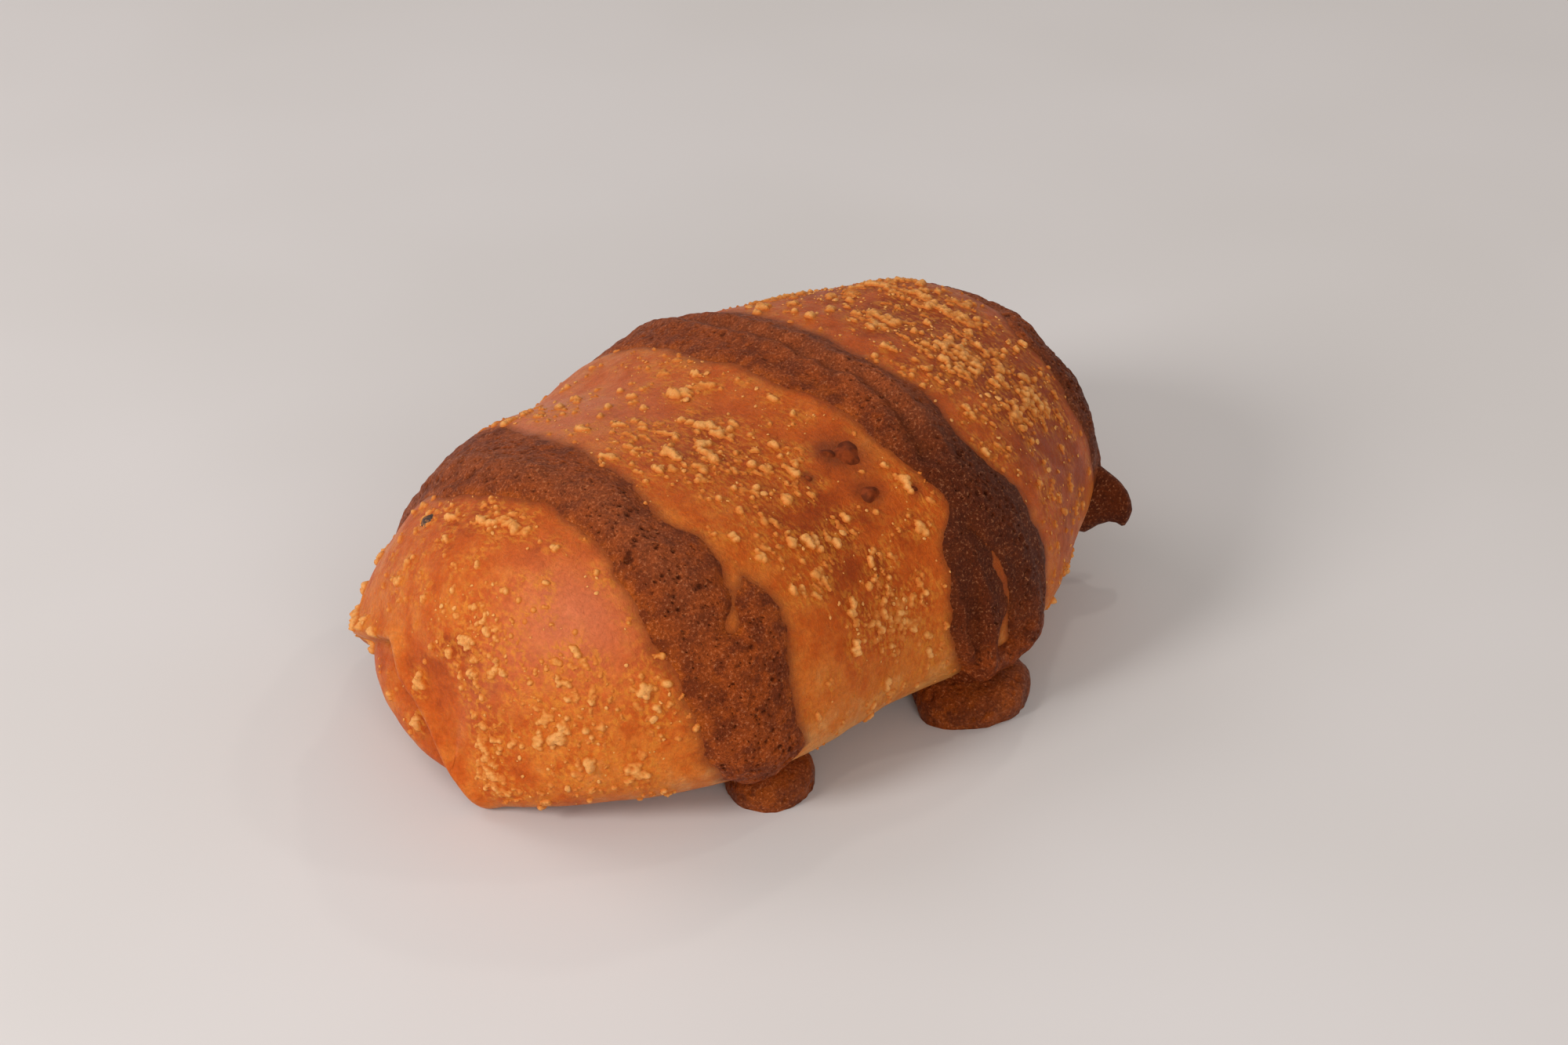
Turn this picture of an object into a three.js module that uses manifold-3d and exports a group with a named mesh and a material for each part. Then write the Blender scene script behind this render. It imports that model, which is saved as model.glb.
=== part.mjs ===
// A lobed, oblong bun with three bands of cocoa batter and a topping of butter crumbs.
//
// Millimetres, +Z up. +X runs along the bun, from its near end to its far end, and the flat base lies
// on z = 0. A place on the crust is a pair (s, t): s runs along the bun from -1 to +1, and t is the
// angle round it: 0 on the widest line of the -Y flank, PI / 2 on the crest, PI on the +Y flank.

import * as THREE from "three";
import { mergeVertices } from "three/addons/utils/BufferGeometryUtils.js";
import Module from "manifold-3d";

const wasm = await Module();
wasm.setup();

// ---------------------------------------------------------------- driving dimensions

const LENGTH = 140;
const HEIGHT = 52;
const BOW = 1.8; // how far the ends stand back from the middle, towards +Y
const PRESSED_FLAT = 0.7; // how much of the underside the tray has flattened
const WIDEST_SHARE = 0.32; // the widest line's height, as a share of the section's
const TUCK = 2.1; // squareness of the lower edges; 2 is an ellipse, and more is squarer

// tip is how high an end's furthest point stands; plan, profile and underside are its squarenesses.
const NEAR_END = { tip: 8, plan: 2.3, profile: 4.1, underside: 6 };
const FAR_END = { tip: 23, plan: 2.65, profile: 3.1, underside: 2.5 };

// How far each flank reaches from the middle, and how square its shoulder is.
const FRONT_FLANK = { reach: 50, shoulder: 2.24 };
const BACK_FLANK = { reach: 54.5, shoulder: 1.95 };

// The dough swells under each band, draws in between them, and grows towards the far end.
const WAISTS = [
  { at: -0.16, spread: 0.24, inWidth: 0.09, inHeight: 0.033 },
  { at: 0.67, spread: 0.26, inWidth: 0.12, inHeight: 0.033 },
];
const GROWTH_IN_WIDTH = 0.045;
const GROWTH_IN_HEIGHT = 0.015;

const FIT_GAP = 0.3; // between two pieces that lie against each other
const EDGE_THICKNESS = 0.7; // of the batter at the edges of a band
const RIDGE_THICKNESS = 2; // of the batter along the middle of a band

const BREAD_STEPS = { along: 42, round: 48 };
const BAND_STEPS = { along: 40, across: 6 };
const FOOT_SIDES = 22;
const SPOT_STEPS = { round: 14, up: 8 };
const CLUMP_DETAIL = 1; // how often each side of the icosahedron is halved
const WELD_DISTANCE = 1e-4; // points closer than this become one

// ---------------------------------------------------------------- the crust as a formula

function superellipse(share, squareness) {
  const inside = 1 - Math.pow(Math.abs(share), squareness);
  return Math.pow(Math.max(inside, 0), 1 / squareness);
}

function signedPower(value, exponent) {
  return Math.sign(value) * Math.pow(Math.abs(value), exponent);
}

// What the waists leave of a size at s, as a share.
function waisted(s, key) {
  let share = 1;
  for (const waist of WAISTS) {
    share -= waist[key] * Math.exp(-Math.pow((s - waist.at) / waist.spread, 2));
  }
  return share;
}

// The point at (s, t) on the dough, before the tray presses its underside flat.
function doughPoint(s, t) {
  const end = s < 0 ? NEAR_END : FAR_END;
  const flank = Math.cos(t) >= 0 ? FRONT_FLANK : BACK_FLANK;
  const tip = THREE.MathUtils.lerp(NEAR_END.tip, FAR_END.tip, (s + 1) / 2);
  const reach = flank.reach * waisted(s, "inWidth") * (1 + GROWTH_IN_WIDTH * s);
  const crest = HEIGHT * waisted(s, "inHeight") * (1 + GROWTH_IN_HEIGHT * s);
  const top = tip + (crest - tip) * superellipse(s, end.profile);
  const bottom = tip - (tip + PRESSED_FLAT) * superellipse(s, end.underside);
  const widest = bottom + WIDEST_SHARE * (top - bottom);
  const upper = Math.sin(t) >= 0;
  const exponent = 2 / (upper ? flank.shoulder : TUCK);
  const across = reach * superellipse(s, end.plan) * signedPower(Math.cos(t), exponent);
  const rise = signedPower(Math.sin(t), exponent) * (upper ? top - widest : widest - bottom);
  return new THREE.Vector3((s * LENGTH) / 2, BOW * s * s - across, widest + rise);
}

function crustNormal(s, t) {
  const nudge = 1e-3;
  const along = doughPoint(s + nudge, t).sub(doughPoint(s - nudge, t));
  const round = doughPoint(s, t + nudge).sub(doughPoint(s, t - nudge));
  return along.cross(round).normalize();
}

// The point at (s, t), raised off the crust, and no lower than the tray.
function raisedPoint(s, t, raise) {
  const point = doughPoint(s, t).addScaledVector(crustNormal(s, t), raise);
  point.z = Math.max(point.z, 0);
  return point;
}

// ---------------------------------------------------------------- meshes and joins

function geometryOf(points, triangles) {
  const geometry = new THREE.BufferGeometry().setFromPoints(points);
  geometry.setIndex(triangles);
  return geometry;
}

// Two triangles for the square with corners a, b, c, d.
function square(a, b, c, d) {
  return [a, b, c, a, c, d];
}

function solidOf(geometry) {
  const bare = geometry.clone();
  bare.deleteAttribute("normal");
  bare.deleteAttribute("uv");
  const merged = mergeVertices(bare, WELD_DISTANCE);
  const vertProperties = new Float32Array(merged.attributes.position.array);
  const triVerts = new Uint32Array(merged.index.array);
  return new wasm.Manifold(new wasm.Mesh({ numProp: 3, vertProperties, triVerts }));
}

function geometryOfSolid(solid) {
  const { vertProperties, triVerts } = solid.getMesh();
  const geometry = new THREE.BufferGeometry();
  geometry.setAttribute("position", new THREE.BufferAttribute(vertProperties, 3));
  geometry.setIndex(new THREE.BufferAttribute(triVerts, 1));
  return geometry;
}

// ---------------------------------------------------------------- bread

// The whole crust as one closed mesh: rings of points round the bun, and a fan over each end.
function breadGeometry() {
  const { along, round } = BREAD_STEPS;
  const points = [doughPoint(-1, 0)];
  for (let i = 1; i < along; i += 1) {
    const s = Math.sin((i / along - 0.5) * Math.PI);
    for (let j = 0; j < round; j += 1) {
      const point = doughPoint(s, (j / round) * 2 * Math.PI);
      point.z = Math.max(point.z, 0);
      points.push(point);
    }
  }
  points.push(doughPoint(1, 0));

  const last = points.length - 1;
  const at = (ring, j) => 1 + ring * round + (j % round);
  const triangles = [];
  for (let j = 0; j < round; j += 1) {
    triangles.push(0, at(0, j), at(0, j + 1));
    for (let ring = 0; ring < along - 2; ring += 1) {
      triangles.push(...square(at(ring, j), at(ring + 1, j), at(ring + 1, j + 1), at(ring, j + 1)));
    }
    triangles.push(last, at(along - 2, j + 1), at(along - 2, j));
  }
  return geometryOf(points, triangles);
}

// The bread grown outwards by a gap, which cuts what lies against it.
function grownBread(gap) {
  const geometry = breadGeometry();
  geometry.computeVertexNormals();
  const place = geometry.attributes.position;
  const normal = geometry.attributes.normal;
  for (let i = 0; i < place.count; i += 1) {
    place.setXYZ(
      i,
      place.getX(i) + gap * normal.getX(i),
      place.getY(i) + gap * normal.getY(i),
      place.getZ(i) + gap * normal.getZ(i),
    );
  }
  return solidOf(geometry);
}

// ---------------------------------------------------------------- cocoa bands

// Each edge is s at even steps of t, from the first angle to the last.
const BANDS = [
  {
    name: "cocoa_band_near",
    from: -0.75,
    to: 3.9,
    nearEdge: [-0.6, -0.71, -0.76, -0.72, -0.735, -0.68, -0.66, -0.6],
    farEdge: [-0.38, -0.51, -0.495, -0.565, -0.48, -0.42, -0.42, -0.4],
    feet: [
      { x: -33, y: -35, length: 16, width: 14, height: 6.5 },
      { x: -36, y: 37, length: 18, width: 14, height: 6 },
    ],
  },
  {
    name: "cocoa_band_middle",
    from: -0.75,
    to: 3.9,
    nearEdge: [0.0, -0.01, 0.03, 0.07, 0.05, 0.1, 0.08, 0.05],
    farEdge: [0.26, 0.31, 0.3, 0.285, 0.335, 0.33, 0.3, 0.27],
    feet: [
      { x: 9.5, y: -42.5, length: 22, width: 20, height: 7 },
      { x: 12, y: 46, length: 20, width: 16, height: 6.5 },
    ],
  },
  {
    name: "cocoa_band_far",
    from: -0.35,
    to: 3.5,
    nearEdge: [0.8, 0.8, 0.8, 0.85, 0.9, 0.86, 0.82, 0.78],
    farEdge: [0.91, 0.94, 0.95, 0.955, 0.955, 0.95, 0.93, 0.9],
    feet: [],
  },
];

// The edge's s at the angle t.
function edgeAt(band, edge, t) {
  const knots = band[edge].map((s, i) => new THREE.Vector2(i, s));
  const share = (t - band.from) / (band.to - band.from);
  return new THREE.SplineCurve(knots).getPoint(share).y;
}

// A band as a closed strip that lies just off the crust, thickest along its middle.
function bandStrip(band) {
  const { along, across } = BAND_STEPS;
  const points = [];
  for (const outer of [0, 1]) {
    for (let i = 0; i <= along; i += 1) {
      const t = THREE.MathUtils.lerp(band.from, band.to, i / along);
      const near = edgeAt(band, "nearEdge", t);
      const far = edgeAt(band, "farEdge", t);
      for (let j = 0; j <= across; j += 1) {
        const crown = Math.sin((j / across) * Math.PI);
        const thickness = EDGE_THICKNESS + (RIDGE_THICKNESS - EDGE_THICKNESS) * crown;
        const s = THREE.MathUtils.lerp(near, far, j / across);
        points.push(raisedPoint(s, t, FIT_GAP + outer * thickness));
      }
    }
  }

  const layer = points.length / 2;
  const at = (outer, i, j) => outer * layer + i * (across + 1) + j;
  const triangles = [];
  for (let i = 0; i < along; i += 1) {
    for (let j = 0; j < across; j += 1) {
      triangles.push(...square(at(1, i, j), at(1, i, j + 1), at(1, i + 1, j + 1), at(1, i + 1, j)));
      triangles.push(...square(at(0, i, j), at(0, i + 1, j), at(0, i + 1, j + 1), at(0, i, j + 1)));
    }
    triangles.push(...square(at(0, i, 0), at(1, i, 0), at(1, i + 1, 0), at(0, i + 1, 0)));
    const j = across;
    triangles.push(...square(at(0, i, j), at(0, i + 1, j), at(1, i + 1, j), at(1, i, j)));
  }
  for (let j = 0; j < across; j += 1) {
    const i = along;
    triangles.push(...square(at(0, 0, j), at(0, 0, j + 1), at(1, 0, j + 1), at(1, 0, j)));
    triangles.push(...square(at(0, i, j), at(1, i, j), at(1, i, j + 1), at(0, i, j + 1)));
  }
  return solidOf(geometryOf(points, triangles));
}

// Half the outline of a foot, from its base to its top, as shares of its reach and its height.
const FOOT_OUTLINE = [[0, 0], [0.94, 0], [1, 0.22], [0.97, 0.5], [0.84, 0.78], [0.55, 0.95], [0, 1]];

// Batter that has run down onto the tray and set as a thick, round-edged disc.
function footSolid({ x, y, length, width, height }) {
  const outline = FOOT_OUTLINE.map(([out, up]) => new THREE.Vector2(out, up));
  const disc = new THREE.LatheGeometry(outline, FOOT_SIDES);
  disc.rotateX(Math.PI / 2);
  disc.scale(length / 2, width / 2, height);
  disc.translate(x, y, 0);
  return solidOf(disc);
}

// The drip that hangs off the far band's front end, and hooks down at its tip.
const BEAK = {
  root: [57, -26, 16],
  middle: [61, -34, 15.5],
  tip: [60.5, -38.5, 10.5],
  rootRadius: 5,
  tipRadius: 0.9,
  taper: 0.8, // below 1, it narrows soonest near the root
  steps: 8,
  sides: 12,
};

function beakSolid() {
  const line = new THREE.CatmullRomCurve3(
    [BEAK.root, BEAK.middle, BEAK.tip].map((place) => new THREE.Vector3(...place)),
  );
  const frames = line.computeFrenetFrames(BEAK.steps);
  const points = [line.getPointAt(0)];
  for (let i = 0; i <= BEAK.steps; i += 1) {
    const share = i / BEAK.steps;
    const radius = THREE.MathUtils.lerp(BEAK.rootRadius, BEAK.tipRadius, Math.pow(share, BEAK.taper));
    for (let j = 0; j < BEAK.sides; j += 1) {
      const angle = (j / BEAK.sides) * 2 * Math.PI;
      const point = line.getPointAt(share);
      point.addScaledVector(frames.normals[i], radius * Math.cos(angle));
      point.addScaledVector(frames.binormals[i], radius * Math.sin(angle));
      points.push(point);
    }
  }
  points.push(line.getPointAt(1));

  const last = points.length - 1;
  const at = (ring, j) => 1 + ring * BEAK.sides + (j % BEAK.sides);
  const triangles = [];
  for (let j = 0; j < BEAK.sides; j += 1) {
    triangles.push(0, at(0, j + 1), at(0, j));
    for (let ring = 0; ring < BEAK.steps; ring += 1) {
      triangles.push(...square(at(ring, j), at(ring, j + 1), at(ring + 1, j + 1), at(ring + 1, j)));
    }
    triangles.push(last, at(BEAK.steps, j), at(BEAK.steps, j + 1));
  }
  return solidOf(geometryOf(points, triangles));
}

function bandGeometry(band, breadCut) {
  let runs = band.feet.map(footSolid);
  if (band.name === "cocoa_band_far") {
    runs = [beakSolid()];
  }
  let solid = bandStrip(band);
  for (const run of runs) {
    solid = solid.add(run.subtract(breadCut));
  }
  return geometryOfSolid(solid);
}

// ---------------------------------------------------------------- spots and crumbs

// Drips of batter between the bands, as flat lenses.
const SPOTS = [
  { name: "cocoa_spot_upper", s: -0.02, t: 1.07, radius: 2.1, height: 0.9 },
  { name: "cocoa_spot_lower", s: -0.06, t: 0.88, radius: 1.9, height: 1.3 },
];

// A clump's length, width and height, as shares of its radius.
const CLUMP_SHAPE = [1.15, 1, 0.8];

// Large clumps of the topping, as [s, t, radius].
const CRUMBS = [
  [-0.13, 1.77, 1.9],
  [-0.2, 1.51, 1.7],
  [-0.14, 1.27, 1.3],
  [-0.37, 1.45, 1.8],
  [-0.3, 1.36, 1.5],
  [-0.45, 1.41, 1.3],
  [-0.02, 1.35, 1.2],
  [-0.26, 1.03, 1.5],
  [-0.3, 0.82, 1.4],
  [-0.42, 0.64, 1.2],
  [-0.8, 1.77, 1.4],
  [-0.79, 1.57, 1.5],
  [-0.8, 2, 1.3],
  [-0.41, 1.84, 1.3],
  [-0.03, 1.8, 1.3],
  [0.37, 1.4, 1.3],
  [0.49, 1.34, 1.2],
  [0.59, 1.44, 1.3],
  [0.7, 1.45, 1.4],
  [-0.95, 0.21, 1.5],
  [-0.8, 0.4, 1.3],
  [-0.98, 1.46, 1.2],
  [-0.32, 0.24, 1.3],
  [-0.91, 0.02, 1.4],
];

// Turns +Z onto the crust's normal at (s, t), and lifts the shape clear of the crust.
function settleOnCrust(geometry, s, t, lift) {
  const up = new THREE.Vector3(0, 0, 1);
  const normal = crustNormal(s, t);
  geometry.applyQuaternion(new THREE.Quaternion().setFromUnitVectors(up, normal));
  const place = doughPoint(s, t).addScaledVector(normal, lift);
  geometry.translate(place.x, place.y, place.z);
  return geometry;
}

function spotGeometry({ s, t, radius, height }, breadCut) {
  const lens = new THREE.SphereGeometry(1, SPOT_STEPS.round, SPOT_STEPS.up);
  lens.scale(radius, radius, height);
  return geometryOfSolid(solidOf(settleOnCrust(lens, s, t, FIT_GAP)).subtract(breadCut));
}

function crumbGeometry([s, t, radius]) {
  const clump = new THREE.IcosahedronGeometry(radius, CLUMP_DETAIL);
  clump.scale(...CLUMP_SHAPE);
  return settleOnCrust(clump, s, t, CLUMP_SHAPE[2] * radius + FIT_GAP);
}

// ---------------------------------------------------------------- materials

const crustFinish = () => new THREE.MeshStandardMaterial({ color: "#c0682c", roughness: 0.45, metalness: 0 });
const cocoaFinish = () => new THREE.MeshStandardMaterial({ color: "#763719", roughness: 0.85, metalness: 0 });
const crumbFinish = () => new THREE.MeshStandardMaterial({ color: "#d99a52", roughness: 0.7, metalness: 0 });

// ---------------------------------------------------------------- the bun

const bun = new THREE.Group();

function addPiece(name, geometry, material) {
  const piece = new THREE.Mesh(geometry, material);
  piece.name = name;
  bun.add(piece);
}

const breadCut = grownBread(FIT_GAP);

addPiece("bread_body", breadGeometry(), crustFinish());
for (const band of BANDS) {
  addPiece(band.name, bandGeometry(band, breadCut), cocoaFinish());
}
for (const spot of SPOTS) {
  addPiece(spot.name, spotGeometry(spot, breadCut), cocoaFinish());
}
CRUMBS.forEach((crumb, i) => {
  addPiece(`crumb_clump_${String(i + 1).padStart(2, "0")}`, crumbGeometry(crumb), crumbFinish());
});

// The flanks and feet aren't alike, so the origin is moved to the middle of the whole bun's base.
const middle = new THREE.Box3().setFromObject(bun, true).getCenter(new THREE.Vector3());
bun.position.set(-middle.x, -middle.y, 0);

export default bun;
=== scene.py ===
# %% [markdown]
# # A cream bun with three bands of cocoa batter
#
# The real bun is one oblong roll of soft dough. Cocoa batter was piped across it before it rose, and
# butter crumbs were scattered over it, so the crust, the batter and the crumbs all baked together.
# The plain CAD model gives the place and size of each piece. This lesson dresses it: first the camera
# and the light, then the crust, the batter, the feet it has run into, and last the crumbs.

import math
import bmesh
import bpy
import numpy as np
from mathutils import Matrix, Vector, kdtree


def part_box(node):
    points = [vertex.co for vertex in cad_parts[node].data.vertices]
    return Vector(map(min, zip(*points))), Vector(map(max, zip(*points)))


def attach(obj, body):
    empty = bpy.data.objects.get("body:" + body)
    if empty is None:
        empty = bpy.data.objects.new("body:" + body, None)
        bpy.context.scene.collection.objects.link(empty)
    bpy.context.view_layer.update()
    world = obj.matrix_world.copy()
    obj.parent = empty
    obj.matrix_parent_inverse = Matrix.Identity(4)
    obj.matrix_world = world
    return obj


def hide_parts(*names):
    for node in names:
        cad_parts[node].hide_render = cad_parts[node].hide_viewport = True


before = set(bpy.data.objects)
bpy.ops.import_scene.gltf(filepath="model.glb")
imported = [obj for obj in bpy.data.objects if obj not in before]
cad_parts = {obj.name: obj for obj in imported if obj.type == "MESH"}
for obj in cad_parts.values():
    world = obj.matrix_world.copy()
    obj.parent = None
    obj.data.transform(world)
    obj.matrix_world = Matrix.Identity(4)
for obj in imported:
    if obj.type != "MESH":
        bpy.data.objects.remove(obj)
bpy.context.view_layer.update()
MM = 0.001

# %% [markdown]
# ## The crust as a formula
#
# Every piece lies on the crust, so the crust is written once, as a point for each pair (s, t). s runs
# along the bun from -1 at the near end to +1 at the far end. t is the angle round it: 0 on the widest
# line of the front flank, pi / 2 on the crest, pi on the back flank. Lengths are in millimetres until
# a mesh is made. It is the same shape that the CAD model has, so the pieces fit it exactly.

# %% Proportions of the dough
bread_low, bread_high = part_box("bread_body")
HALF_LENGTH = (bread_high.x - bread_low.x) / 2 / MM
HEIGHT = 52
BOW = 1.8
PRESSED_FLAT = 0.7
WIDEST_SHARE = 0.32
TUCK = 2.1
NEAR_TIP, FAR_TIP = 8, 23
NEAR_SQUARENESS = {"plan": 2.3, "profile": 4.1, "underside": 6}
FAR_SQUARENESS = {"plan": 2.65, "profile": 3.1, "underside": 2.5}
FRONT_REACH, BACK_REACH = 50, 54.5
FRONT_SHOULDER, BACK_SHOULDER = 2.24, 1.95
WAISTS = [
    {"at": -0.16, "spread": 0.24, "width": 0.09, "height": 0.033},
    {"at": 0.67, "spread": 0.26, "width": 0.12, "height": 0.033},
]
GROWTH = {"width": 0.045, "height": 0.015}
NUDGE = 1e-4
TOO_SHORT = 1e-12
print("dough", round(2 * HALF_LENGTH, 1), "mm long and", HEIGHT, "mm high")


# %% Points and normals of the plain crust
def superellipse(share, squareness):
    return np.maximum(1 - np.abs(share) ** squareness, 0) ** (1 / squareness)


def signed_power(value, exponent):
    return np.sign(value) * np.abs(value) ** exponent


def hump(distance, width):
    """1 where the distance is 0, fading to 0 on both sides over about twice this width."""
    return np.exp(-((distance / width) ** 2))


def bank(distance, height, width, off=0):
    """A rounded bank along a line, or a furrow if its height is below zero."""
    return height * hump(distance - off, width)


def unit(vectors):
    """The same directions, one unit long."""
    return vectors / np.maximum(np.linalg.norm(vectors, axis=-1, keepdims=True), TOO_SHORT)


def swell(s, key):
    """What the waists and the growth towards the far end make of a width or a height."""
    share = 1 + GROWTH[key] * s
    drawn_in = sum(w[key] * hump(s - w["at"], w["spread"]) for w in WAISTS)
    return share * (1 - drawn_in)


def dough(s, t):
    """The points of the plain crust, in millimetres."""
    s, t = np.broadcast_arrays(np.asarray(s, float), np.asarray(t, float))
    ends = {k: np.where(s < 0, NEAR_SQUARENESS[k], FAR_SQUARENESS[k]) for k in NEAR_SQUARENESS}
    tip = NEAR_TIP + (FAR_TIP - NEAR_TIP) * (s + 1) / 2
    reach = np.where(np.cos(t) >= 0, FRONT_REACH, BACK_REACH) * swell(s, "width")
    top = tip + (HEIGHT * swell(s, "height") - tip) * superellipse(s, ends["profile"])
    bottom = tip - (tip + PRESSED_FLAT) * superellipse(s, ends["underside"])
    widest = bottom + WIDEST_SHARE * (top - bottom)
    shoulder = np.where(np.cos(t) >= 0, FRONT_SHOULDER, BACK_SHOULDER)
    upper = np.sin(t) >= 0
    exponent = 2 / np.where(upper, shoulder, TUCK)
    across = reach * superellipse(s, ends["plan"]) * signed_power(np.cos(t), exponent)
    rise = signed_power(np.sin(t), exponent) * np.where(upper, top - widest, widest - bottom)
    return np.stack([s * HALF_LENGTH, BOW * s * s - across, widest + rise], axis=-1)


def dough_normal(s, t):
    s = np.clip(s, -1 + 2 * NUDGE, 1 - 2 * NUDGE)
    along = dough(s + NUDGE, t) - dough(s - NUDGE, t)
    around = dough(s, t + NUDGE) - dough(s, t - NUDGE)
    return unit(np.cross(along, around))


# The formula's own middle isn't the CAD model's, because the two flanks differ.
FINE_STEPS = (801, 721)
fine_s = np.linspace(-1, 1, FINE_STEPS[0])
fine_t = np.linspace(-math.pi, math.pi, FINE_STEPS[1])
front_reached = dough(*np.meshgrid(fine_s, fine_t))[..., 1].min()
SHIFT = Vector(((bread_low.x + bread_high.x) / 2, bread_low.y - front_reached * MM, bread_low.z))
print("half length", round(HALF_LENGTH, 2), "shift", [round(v, 5) for v in SHIFT])


def to_scene(points):
    """Millimetres on the bun to metres in the frame."""
    return np.asarray(points) * MM + np.array(SHIFT)


# %% [markdown]
# ## Camera
#
# The bun is seen from above its front flank, near end first, with a long lens that keeps its sides
# almost parallel. The camera stands on a line from the middle of the bun, turned and tilted.

# %% Camera
CAMERA_TURN = math.radians(-48.8)
CAMERA_TILT = math.radians(30.5)
CAMERA_DISTANCE = 641
CAMERA_TARGET = (5.6, -3.6, 22.4)
LENS = 83.9
SENSOR = 36
NEAREST_SEEN = 10

level = math.cos(CAMERA_TILT)
sideways, forwards = math.sin(CAMERA_TURN) * level, math.cos(CAMERA_TURN) * level
towards_camera = Vector((sideways, -forwards, math.sin(CAMERA_TILT)))
target = Vector(to_scene(CAMERA_TARGET))
camera_data = bpy.data.cameras.new("camera")
camera_data.lens = LENS
camera_data.sensor_width = SENSOR
camera_data.clip_start = NEAREST_SEEN * MM
camera = bpy.data.objects.new("camera", camera_data)
camera.location = target + towards_camera * CAMERA_DISTANCE * MM
camera.rotation_euler = towards_camera.to_track_quat("Z", "Y").to_euler()
bpy.context.scene.collection.objects.link(camera)
bpy.context.scene.camera = camera
print("camera at", [round(v, 3) for v in camera.location])


# %% [markdown]
# ## Light
#
# The light is a soft studio: a pale surround, softboxes at the left, in front and behind, and two small
# lamps overhead, which give the satin crust its sheen and the table several faint shadows. Each lamp
# is a disk that faces the bun from one metre away, so only its direction, size and power are listed.

# %% Surround and softboxes
def linear(hex_colour):
    """A colour as it is written for a screen, turned into the plain light values that shaders use."""
    parts = [int(hex_colour[i : i + 2], 16) / 255 for i in (1, 3, 5)]
    return tuple(p / 12.92 if p <= 0.04045 else ((p + 0.055) / 1.055) ** 2.4 for p in parts) + (1.0,)


def palette(**colours):
    """Named colours for one finish."""
    return {name: linear(colour) for name, colour in colours.items()}


bpy.context.scene.view_settings.view_transform = "Standard"
world = bpy.data.worlds.new("studio")
world.use_nodes = True
surround = world.node_tree.nodes["Background"]
SURROUND_COLOUR = (1.0, 0.96, 0.92, 1)
SURROUND_STRENGTH = 0.42
surround.inputs["Color"].default_value = SURROUND_COLOUR
surround.inputs["Strength"].default_value = SURROUND_STRENGTH
bpy.context.scene.world = world

LAMPS = [
    # name, direction from the bun, size in metres, power in watts, colour
    ("left_softbox", (-0.95, 0.2, 0.55), 0.34, 6.2, (1, 0.97, 0.95)),
    ("front_softbox", (-0.6, -0.8, 0.38), 0.6, 3.65, (1, 0.98, 0.97)),
    ("back_softbox", (-0.15, 0.75, 0.65), 0.5, 1.8, (1, 0.94, 0.94)),
    ("back_lamp", (0.65, 0.25, 0.72), 0.06, 0.5, (1, 0.93, 0.85)),
    ("right_lamp", (0.57, -0.25, 0.78), 0.06, 0.5, (1, 0.93, 0.85)),
]
LAMP_DISTANCE = 1.0


def add_lamp(name, towards, size, power, colour):
    data = bpy.data.lights.new(name, "AREA")
    data.shape = "DISK"
    data.size = size
    data.energy = power
    data.color = colour
    lamp = bpy.data.objects.new(name, data)
    direction = Vector(towards).normalized()
    lamp.location = target + direction * LAMP_DISTANCE
    lamp.rotation_euler = direction.to_track_quat("Z", "Y").to_euler()
    bpy.context.scene.collection.objects.link(lamp)


for settings in LAMPS:
    add_lamp(*settings)
print("lamps:", len(LAMPS))


# %% [markdown]
# ## Random but repeatable
#
# Baked things are uneven at every size. `noise` gives smooth random heights from a lattice of hashed
# numbers, so the same lumps come out each time, wherever a piece samples them. The factors are large
# primes: multiplying by them scrambles the bits of a cell's place.

# %% Noise on points
PLACE_FACTORS = np.array([374761393, 668265263, 2147483629])
SEED_FACTOR = 9176263
MIXING_FACTOR = 1274126177
LOW_BITS = 0xFFFF


def lattice_value(cells, seed):
    """A number from -1 to 1 for each whole-numbered cell."""
    mixed = (cells * PLACE_FACTORS).sum(axis=-1) + seed * SEED_FACTOR
    mixed = np.multiply(mixed ^ (mixed >> 13), MIXING_FACTOR)
    mixed = mixed ^ (mixed >> 16)
    return 2 * (mixed & LOW_BITS) / LOW_BITS - 1


def noise(points, size, seed):
    """Smooth random values from -1 to 1, in lumps of about this size in millimetres."""
    scaled = np.asarray(points) / size
    base = np.floor(scaled).astype(np.int64)
    part = scaled - base
    part = part * part * (3 - 2 * part)
    total = 0
    for corner in np.ndindex(2, 2, 2):
        weight = np.prod(np.where(corner, part, 1 - part), axis=-1)
        total = total + weight * lattice_value(base + corner, seed)
    return total


def layered(points, layers, seed):
    """Noise of several sizes added up, from (amount, size in millimetres) pairs."""
    return sum(amount * noise(points, size, seed + i) for i, (amount, size) in enumerate(layers))


def rough_noise(points, size, seed):
    """Noise of three sizes, each half as large and half as strong as the one before."""
    return layered(points, [(0.5**i, size / 2**i) for i in range(3)], seed)


# %% Blends and distances on the unrolled crust
ROUND_RADIUS = 38


def smooth_step(low, high, value):
    """0 up to low, 1 from high on, and a smooth rise between them; low may be above high."""
    share = np.clip((value - low) / (high - low), 0, 1)
    return share * share * (3 - 2 * share)


def distance_to_path(s, t, path):
    """Millimetres from (s, t) to a line through (s, t) corners, with the crust unrolled flat."""
    x, y = s * HALF_LENGTH, t * ROUND_RADIUS
    nearest = np.full(np.shape(x), np.inf)
    for (s0, t0), (s1, t1) in zip(path, path[1:]):
        x0, y0 = s0 * HALF_LENGTH, t0 * ROUND_RADIUS
        dx, dy = s1 * HALF_LENGTH - x0, t1 * ROUND_RADIUS - y0
        along = np.clip(((x - x0) * dx + (y - y0) * dy) / (dx * dx + dy * dy), 0, 1)
        nearest = np.minimum(nearest, np.hypot(x - x0 - along * dx, y - y0 - along * dy))
    return nearest


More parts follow.
